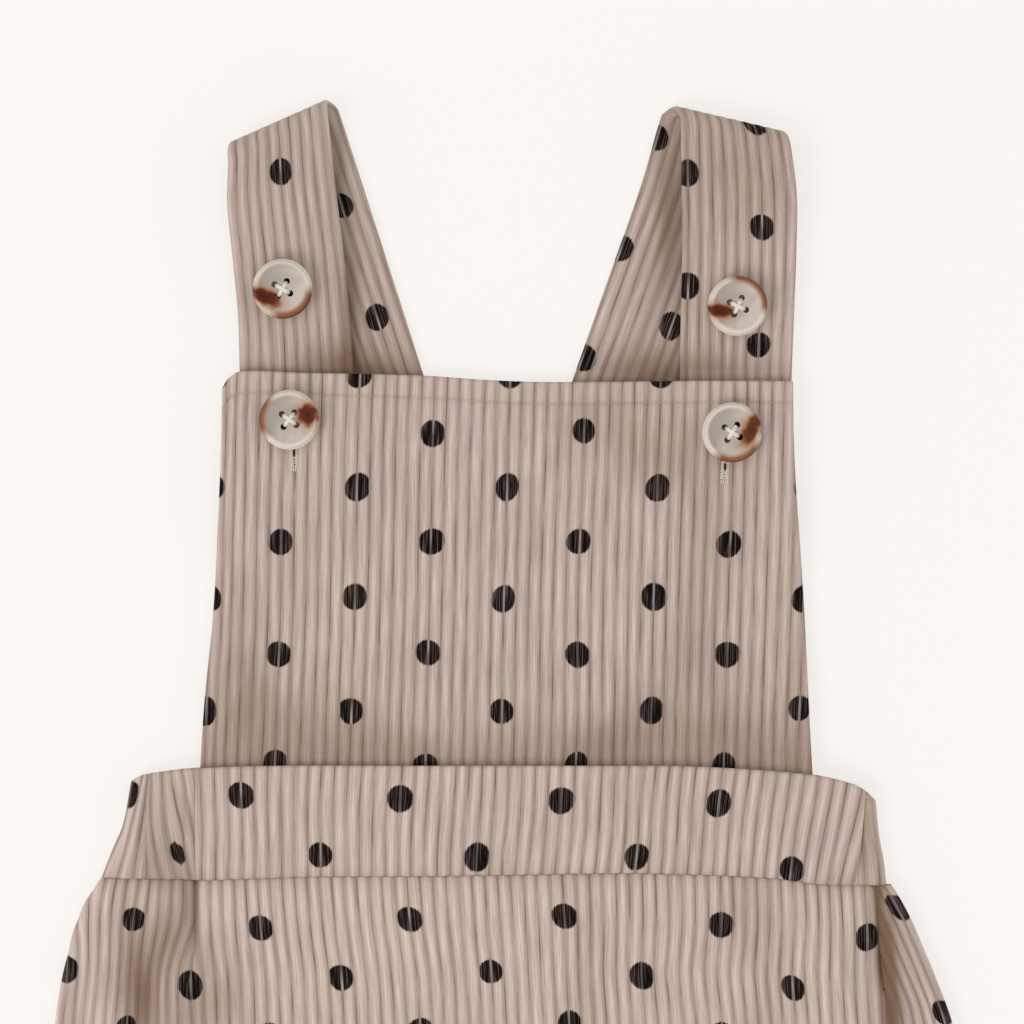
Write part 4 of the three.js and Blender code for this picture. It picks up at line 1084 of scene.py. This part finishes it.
def makeStrap(name, strap, mirrored):
    run, outer, inner, frontCount = strapEdges(strap)
    total = run[-1]
    width = float(np.linalg.norm(outer[0] - inner[0])) / strapCloth["wales"]
    foldStart, foldEnd = run[frontCount - 1], run[frontCount + foldSteps]
    middleOfFold = (foldStart + foldEnd) / 2

    def edgesAt(along):
        edges = []
        for edge in (outer, inner):
            edges.append(np.stack([curveThrough(list(zip(run, edge[:, k])), along) for k in range(3)], -1))
        return edges

    def place(across, v):
        u = across / width
        if mirrored:
            u = 1 - u
        edges = edgesAt(v * total)
        point = mix(edges[0], edges[1], u[..., None])
        point[..., 2] = np.maximum(point[..., 2], cloth["strap"] / 2)
        x, y = point[..., 0], point[..., 1]
        # painted shade: over the whole strap, where it comes out from behind the bib, and in listed patches
        shade = strap["tint"] + strapCloth["underBib"] * ramp(*strapCloth["bibEdge"], y)
        shade = shade + shadeOver(strap["shade"], x, y)
        return np.concatenate([point, shade[..., None]], -1)

    # a crossing line lies aslant: how far a place on it is ahead of its middle
    def aheadAt(across, along):
        here, before, after = edgesAt(along), edgesAt(along - 1.5), edgesAt(along + 1.5)
        middle = (here[0] + here[1]) / 2
        forward = (after[0] + after[1] - before[0] - before[1]) / 2
        forward /= np.maximum(np.linalg.norm(forward, axis=-1, keepdims=True), 1e-9)
        return ((place(across, along / total)[..., :3] - middle) * forward).sum(-1)

    # how far along the cloth a place is, square to the wales
    def clothAlong(across, v):
        along = v * total
        turned = np.clip((along - foldStart) / (foldEnd - foldStart), 0, 1)
        before = aheadAt(across, np.minimum(along, foldStart - 2))
        after = aheadAt(across, np.maximum(along, foldEnd + 2))
        slack = strap["slack"] * ramp(foldStart - 14, foldStart + 12, along)
        return (along + mix(before, after, turned)) * strapCloth["pull"] + slack

    def pressedAt(across, v):
        return strapCloth["pressed"] * bell(v * total - middleOfFold, strapCloth["pressedReach"])

    step, endStep = strapCloth["rowStep"], rim[-1] + 0.8
    flat = np.concatenate([rim, np.arange(endStep, foldStart, step)])
    back = np.arange(foldEnd, total - endStep, step)
    turning = np.linspace(foldStart, foldEnd, strapCloth["foldRows"])[1:-1]
    rows = np.concatenate([flat, turning, back, total - rim[::-1]]) / total
    left, right = np.zeros(len(rows)), np.full(len(rows), width)

    # where each face's named dot lies on the cloth
    acrossGrid, vGrid = np.meshgrid(np.linspace(0, width, 60), np.linspace(0, 1, 900), indexing="ij")
    grid = place(acrossGrid, vGrid)
    alongGrid = clothAlong(acrossGrid, vGrid)

    def dotOn(spot, wanted):
        distance = np.hypot(grid[..., 0] - spot[0], grid[..., 1] - spot[1]) + np.where(wanted, 0, 1e3)
        i, j = np.unravel_index(distance.argmin(), distance.shape)
        return acrossGrid[i, j], alongGrid[i, j]

    acrossFront, alongFront = dotOn(strap["dotFront"], vGrid * total < middleOfFold)
    acrossBack, alongBack = dotOn(strap["dotBack"], vGrid * total > middleOfFold)

    def placeFromDot(across, v):
        return place(across + acrossFront, v)

    def frontUv(across, v):
        return across, clothAlong(across + acrossFront, v) - alongFront

    def backUv(across, v):
        return across + acrossFront - acrossBack, clothAlong(across + acrossFront, v) - alongBack

    return sewSheet(name, placeFromDot, left - acrossFront, right - acrossFront, rows, total, cloth["strap"],
                    frontUv, backUv, ribbed=(1, 1), pressed=pressedAt)


strapLeft = makeStrap("corduroy_strap_left", straps["left"], False)
strapRight = makeStrap("corduroy_strap_right", straps["right"], True)

button = {
    "radius": 9.0, "thick": 3.4, "dish": 0.62,
    "foot": 0.72, "topEdge": 0.9,     # shares of the radius at the foot and at the top's edge
    "bellyLow": 1.05, "bellyFull": 0.45,
    # rim, slope and dish, from the edge inward: how wide each step is and how far it goes up
    "steps": [(0.4, 0.14), (0.5, -0.04), (0.7, -0.38), (1.2, -0.2), (1.4, -0.08), (1.4, -0.02)],
    "hole": 0.95, "holeSpacing": 3.8,
    "softEdge": 0.22,
}
# How each button is turned and leans, its tongue of colour (x, y, turn, length, width, tone) and the amber
# arc round its rim (turn, where it starts).
buttonLooks = {
    "left_upper": (15, 5, (-5.0, -2.7, -22, 4.9, 2.5, "red"), (-56, 0.45)),
    "left_lower": (8, 0, (5.7, 1.3, 80, 3.3, 3.5, "red"), (172, 0.6)),
    "right_upper": (20, 4, (-5.2, -1.7, -6, 4.2, 2.2, "red"), (44, 0.4)),
    "right_lower": (12, 0, (5.8, 0.9, 62, 5.2, 2.7, "honey"), (-75, 0.5)),
}


def deselectAll():
    bpy.ops.object.select_all(action="DESELECT")


def selectOnly(piece):
    deselectAll()
    piece.select_set(True)
    bpy.context.view_layer.objects.active = piece


def finishMesh(piece):
    selectOnly(piece)
    bpy.ops.object.transform_apply(location=True, rotation=True, scale=True)


def joinAll(pieces):
    deselectAll()
    for piece in pieces:
        piece.select_set(True)
    bpy.context.view_layer.objects.active = pieces[0]
    if len(pieces) > 1:
        bpy.ops.object.join()


def selectFaces(piece, wanted):
    bpy.ops.mesh.select_all(action="DESELECT")
    work = bmesh.from_edit_mesh(piece.data)
    for face in work.faces:
        face.select = wanted(face)
    work.select_flush(True)
    bmesh.update_edit_mesh(piece.data)


def modelButton():
    radius, thick = button["radius"] * mm, button["thick"] * mm
    deselectAll()
    bpy.ops.mesh.primitive_cylinder_add(vertices=64, radius=radius * button["foot"], depth=thick,
                                        location=(0, 0, thick / 2), end_fill_type="NGON")
    disc = bpy.context.object
    disc.name = "master_button"
    finishMesh(disc)
    bpy.ops.object.mode_set(mode="EDIT")
    bpy.ops.mesh.select_mode(type="FACE")
    # the side bellies out in steps to the full radius
    selectFaces(disc, lambda face: abs(face.normal.z) < 0.5)
    bpy.ops.mesh.subdivide(number_cuts=4, quadcorner="STRAIGHT_CUT")
    work = bmesh.from_edit_mesh(disc.data)
    for vert in work.verts:
        share = vert.co.z / thick
        belly = 0.0
        if 0 < share < 1:
            belly = math.sin(math.pi * min(1, share * button["bellyLow"])) ** button["bellyFull"]
        wide = mix(button["foot"], 1.0, belly)
        if share > 0.99:
            wide = max(wide, button["topEdge"])
        flat = Vector((vert.co.x, vert.co.y, 0)).normalized() * button["radius"] * mm * wide
        vert.co.x, vert.co.y = flat.x, flat.y
    bmesh.update_edit_mesh(disc.data)
    selectFaces(disc, lambda face: face.normal.z > 0.9 and len(face.verts) > 8)
    for inward, up in button["steps"]:
        bpy.ops.mesh.inset(thickness=inward * mm, depth=up * mm)
    bpy.ops.object.mode_set(mode="OBJECT")
    aside = button["holeSpacing"] / 2 * mm
    for spot in ((-aside, -aside, 0), (-aside, aside, 0), (aside, -aside, 0), (aside, aside, 0)):
        deselectAll()
        bpy.ops.mesh.primitive_cylinder_add(vertices=24, radius=button["hole"] * mm, depth=0.02,
                                            location=spot)
        drill = bpy.context.object
        selectOnly(disc)
        cut = disc.modifiers.new("hole", "BOOLEAN")
        cut.operation = "DIFFERENCE"
        cut.solver = "EXACT"
        cut.object = drill
        bpy.ops.object.modifier_apply(modifier=cut.name)
        bpy.data.objects.remove(drill)
    selectOnly(disc)
    soft = disc.modifiers.new("soft_edges", "BEVEL")
    soft.width = button["softEdge"] * mm
    soft.segments = 3
    soft.limit_method = "ANGLE"
    soft.angle_limit = math.radians(38)
    bpy.ops.object.modifier_apply(modifier=soft.name)
    bpy.ops.object.shade_smooth_by_angle(angle=math.radians(45))
    return disc


# Two bundles of thread that cross in the dish, from hole to hole.
crossThread = {
    "radius": 0.31, "apart": 0.26,
    "reach": 0.84,             # share of the way to a hole's middle
    "sunk": 0.9, "over": 0.3,  # how far its ends go into the hole, and it rises over what lies below
    "bend": 0.7, "handle": 0.4,
}


def modelCross():
    strands = []
    reach = button["holeSpacing"] / 2 * mm * math.sqrt(2) * crossThread["reach"]
    top = (button["thick"] - button["dish"]) * mm
    apart, sunk, over, handle = (crossThread[key] * mm for key in ("apart", "sunk", "over", "handle"))
    for turn, side, rise in ((45, -apart, over), (45, apart, over), (135, -apart, 2 * over),
                             (135, apart, 2 * over)):
        deselectAll()
        bpy.ops.curve.primitive_bezier_curve_add(location=(0, 0, 0))
        curve = bpy.context.object.data
        curve.bevel_depth = crossThread["radius"] * mm
        curve.bevel_resolution = 3
        curve.resolution_u = 10
        heading = Vector((math.cos(math.radians(turn)), math.sin(math.radians(turn)), 0))
        aside = Vector((-heading.y, heading.x, 0)) * side
        for point, sign in zip(curve.splines[0].bezier_points, (-1, 1)):
            point.handle_left_type = "FREE"
            point.handle_right_type = "FREE"
            point.co = heading * sign * reach + aside + Vector((0, 0, top - sunk))
            inner = heading * sign * reach * crossThread["bend"] + aside
            inner = inner + Vector((0, 0, top + rise + handle))
            ending = point.co + Vector((0, 0, -handle))
            point.handle_right = inner if sign < 0 else ending
            point.handle_left = ending if sign < 0 else inner
        bpy.ops.object.convert(target="MESH")
        strands.append(bpy.context.object)
    joinAll(strands)
    bpy.ops.object.shade_smooth()
    cross = bpy.context.object
    cross.name = "master_cross"
    return cross


def setMaterial(piece, material):
    piece.data.materials.clear()
    piece.data.materials.append(material)


def placeCopy(master, name, centre, turn, lean, material):
    copy = addObject(name, master.data.copy())
    copy.data.name = name
    copy.location = centre
    copy.rotation_euler = Euler((math.radians(lean), 0, math.radians(turn)), "XYZ")
    finishMesh(copy)
    setMaterial(copy, material)
    return copy


masterButton = modelButton()
masterCross = modelCross()
for spot, (turn, lean, tongue, arc) in buttonLooks.items():
    low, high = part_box("button_" + spot)
    raised = button["radius"] * mm * math.sin(math.radians(lean))
    foot = Vector(((low.x + high.x) / 2, (low.y + high.y) / 2, low.z + raised))
    horn = makeHorn("imitation_horn_" + spot, foot, tongue, arc)
    disc = placeCopy(masterButton, "horn_button_" + spot, foot, turn, lean, horn)
    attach(disc, "root")
    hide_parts("button_" + spot)
    cross = placeCopy(masterCross, "button_thread_" + spot, foot, turn, lean, buttonThread)
    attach(cross, "root")
    setMaterial(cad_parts["thread_shank_" + spot], buttonThread)
bpy.data.objects.remove(masterButton)
bpy.data.objects.remove(masterCross)
print("buttons on")

# Stitches lie on the cloth: a row along the bib's hem, and close ones down both sides of each buttonhole.
stitching = {
    "topFrom": -82, "topTo": 82, "topStep": 3.1, "topSize": (2.7, 0.34), "topSunk": 0.24,
    "holeStep": 0.5, "holeSize": (1.5, 0.56), "holeApart": 0.7, "holeSunk": 0.06,
    "tackCount": 4, "tackStep": 0.6, "tackBelow": 0.4,
    "slitSize": (2.3, 0.85), "slitProud": 0.14,
    # how far the slit is from the button's middle, its top and foot, where it gapes, and its lean
    "holes": {"left": (0.9, 118.0, 101.6, 106.1, 0.03), "right": (-1.2, 114.0, 98.0, 101.9, -0.06)},
}


# One stitch: a short round-ended bar along x.
def modelStitch(length, thick):
    deselectAll()
    bpy.ops.mesh.primitive_uv_sphere_add(segments=8, ring_count=6, radius=0.5, location=(0, 0, 0))
    stitch = bpy.context.object
    stitch.scale = (length * mm, thick * mm, thick * 0.8 * mm)
    finishMesh(stitch)
    bpy.ops.object.shade_smooth()
    return stitch


# Stitches of a (length, thickness) at places (x, y, z, turn), joined into one piece.
def layStitches(name, size, spots, material):
    master = modelStitch(*size)
    copies = []
    for x, y, z, turn in spots:
        copy = addObject(name, master.data.copy())
        copy.location = ((x + shiftX) * mm, (y + shiftY) * mm, z * mm)
        copy.rotation_euler = Euler((0, 0, math.radians(turn)), "XYZ")
        copies.append(copy)
    joinAll(copies)
    piece = copies[0]
    finishMesh(piece)
    piece.name = name
    piece.data.name = name
    setMaterial(piece, material)
    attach(piece, "root")
    bpy.data.objects.remove(master)


def onBib(x, y):
    return float(bibHeight(np.array([x], float), np.array([y], float))[0]) + cloth["bib"] / 2


spots = []
x = float(stitching["topFrom"])
while x < stitching["topTo"]:
    y = float(curveThrough(bibTop, x)) - bib["hemBelow"]
    slope = float(curveThrough(bibTop, x + 1) - curveThrough(bibTop, x - 1)) / 2
    spots.append((x, y, onBib(x, y) - stitching["topSunk"], math.degrees(math.atan(slope))))
    x += stitching["topStep"]
layStitches("bib_top_stitching", stitching["topSize"], spots, seamThread)

for side, (aside, holeTop, holeFoot, gape, lean) in stitching["holes"].items():
    low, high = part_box("button_" + side + "_lower")
    middle = (low.x + high.x) / 2 / mm - shiftX + aside
    spots = []
    y = holeTop
    while y > holeFoot:
        x = middle + lean * (holeTop - y)
        for away in (-1, 1):
            tilt = away * 8 + 12 * math.sin(y * 7 + away)
            height = onBib(x, y) - stitching["holeSunk"]
            spots.append((x + away * stitching["holeApart"], y, height, tilt))
        y -= stitching["holeStep"]
    # bar tack across the foot
    firstTack = x - stitching["tackStep"] * (stitching["tackCount"] - 1) / 2
    for step in range(stitching["tackCount"]):
        tackX = firstTack + stitching["tackStep"] * step
        spots.append((tackX, holeFoot - stitching["tackBelow"], onBib(x, y), 90))
    layStitches("buttonhole_stitching_" + side, stitching["holeSize"], spots, holeThread)
    # a slim dark bar lies on the slit as its painted shadow
    slitX = middle + lean * (holeTop - gape)
    slitSpot = (slitX, gape, onBib(slitX, gape) + stitching["slitProud"], 90)
    layStitches("buttonhole_slit_shadow_" + side, stitching["slitSize"], [slitSpot], slitShadowMaterial)
print("stitched")

sheets = [
    (bibPiece, "bib", (0.180, 0.125), "laid", None, ["strap_left", "strap_right"]),
    (frontBandPiece, "front_waistband", (0.200, 0.034), "laid", None, ["bib"]),
    (backBandPiece, "back_waistband", (0.302, 0.034), "folded", None, ["floor"]),
    (frontLegsPiece, "front_panel", (0.304, 0.190), "folded", 0.0505, ["floor", "back_panel"]),
    (backLegsPiece, "back_panel", (0.262, 0.190), "laid", 0.0450, ["floor"]),
    (strapLeft, "strap_left", (0.035, 0.345), "folded", None, ["floor"]),
    (strapRight, "strap_right", (0.035, 0.345), "folded", None, ["floor"]),
]
for piece, node, flatSize, held, area, under in sheets:
    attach(piece, "root")
    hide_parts(node)

studio = {
    "floorSize": 6, "floorZ": -0.0002, "floor": "#8f8d8b",
    "glow": "#fdfaf6", "glowStrength": 0.705,      # keeps the floor even
    "sky": 0.83,
    "windowPlace": (-2.0, -1.5, 2.1), "windowAim": (0, 0.08, 0), "windowSize": 1.7, "windowPower": 31,
    "windowColour": (1.0, 0.99, 0.98),
    "lens": 135, "cameraPlace": (0.0006, 0.0884, 1.158),
}
deselectAll()
bpy.ops.mesh.primitive_plane_add(size=studio["floorSize"], location=(0, 0, studio["floorZ"]))
floor = bpy.context.object
floor.name = "floor"
paper, paperTree = newMaterial("pale_floor")
paperShader = addNode(paperTree, "BsdfPrincipled", {
    "Base Color": linear(studio["floor"]), "Roughness": 0.95, "Specular IOR Level": 0.1,
    "Emission Color": linear(studio["glow"]), "Emission Strength": studio["glowStrength"]})
addNode(paperTree, "OutputMaterial", {"Surface": paperShader})
floor.data.materials.append(paper)

scene = bpy.context.scene
world = bpy.data.worlds.new("studio")
world.use_nodes = True
background = world.node_tree.nodes["Background"]
background.inputs[0].default_value = (1.0, 1.0, 1.0, 1)
background.inputs[1].default_value = studio["sky"]
scene.world = world
lamp = bpy.data.lights.new("window", "AREA")
lamp.shape = "DISK"
lamp.size = studio["windowSize"]
lamp.energy = studio["windowPower"]
lamp.color = studio["windowColour"]
lampObject = addObject("window", lamp)
lampObject.location = studio["windowPlace"]
aim = Vector(studio["windowAim"]) - Vector(studio["windowPlace"])
lampObject.rotation_euler = aim.to_track_quat("-Z", "Y").to_euler()

camera = bpy.data.cameras.new("camera")
camera.lens = studio["lens"]
camera.sensor_width = 36
cameraObject = addObject("camera", camera)
cameraObject.location = studio["cameraPlace"]
scene.camera = cameraObject
scene.view_settings.view_transform = "Standard"
scene.view_settings.look = "None"
print("floor, light and camera set")
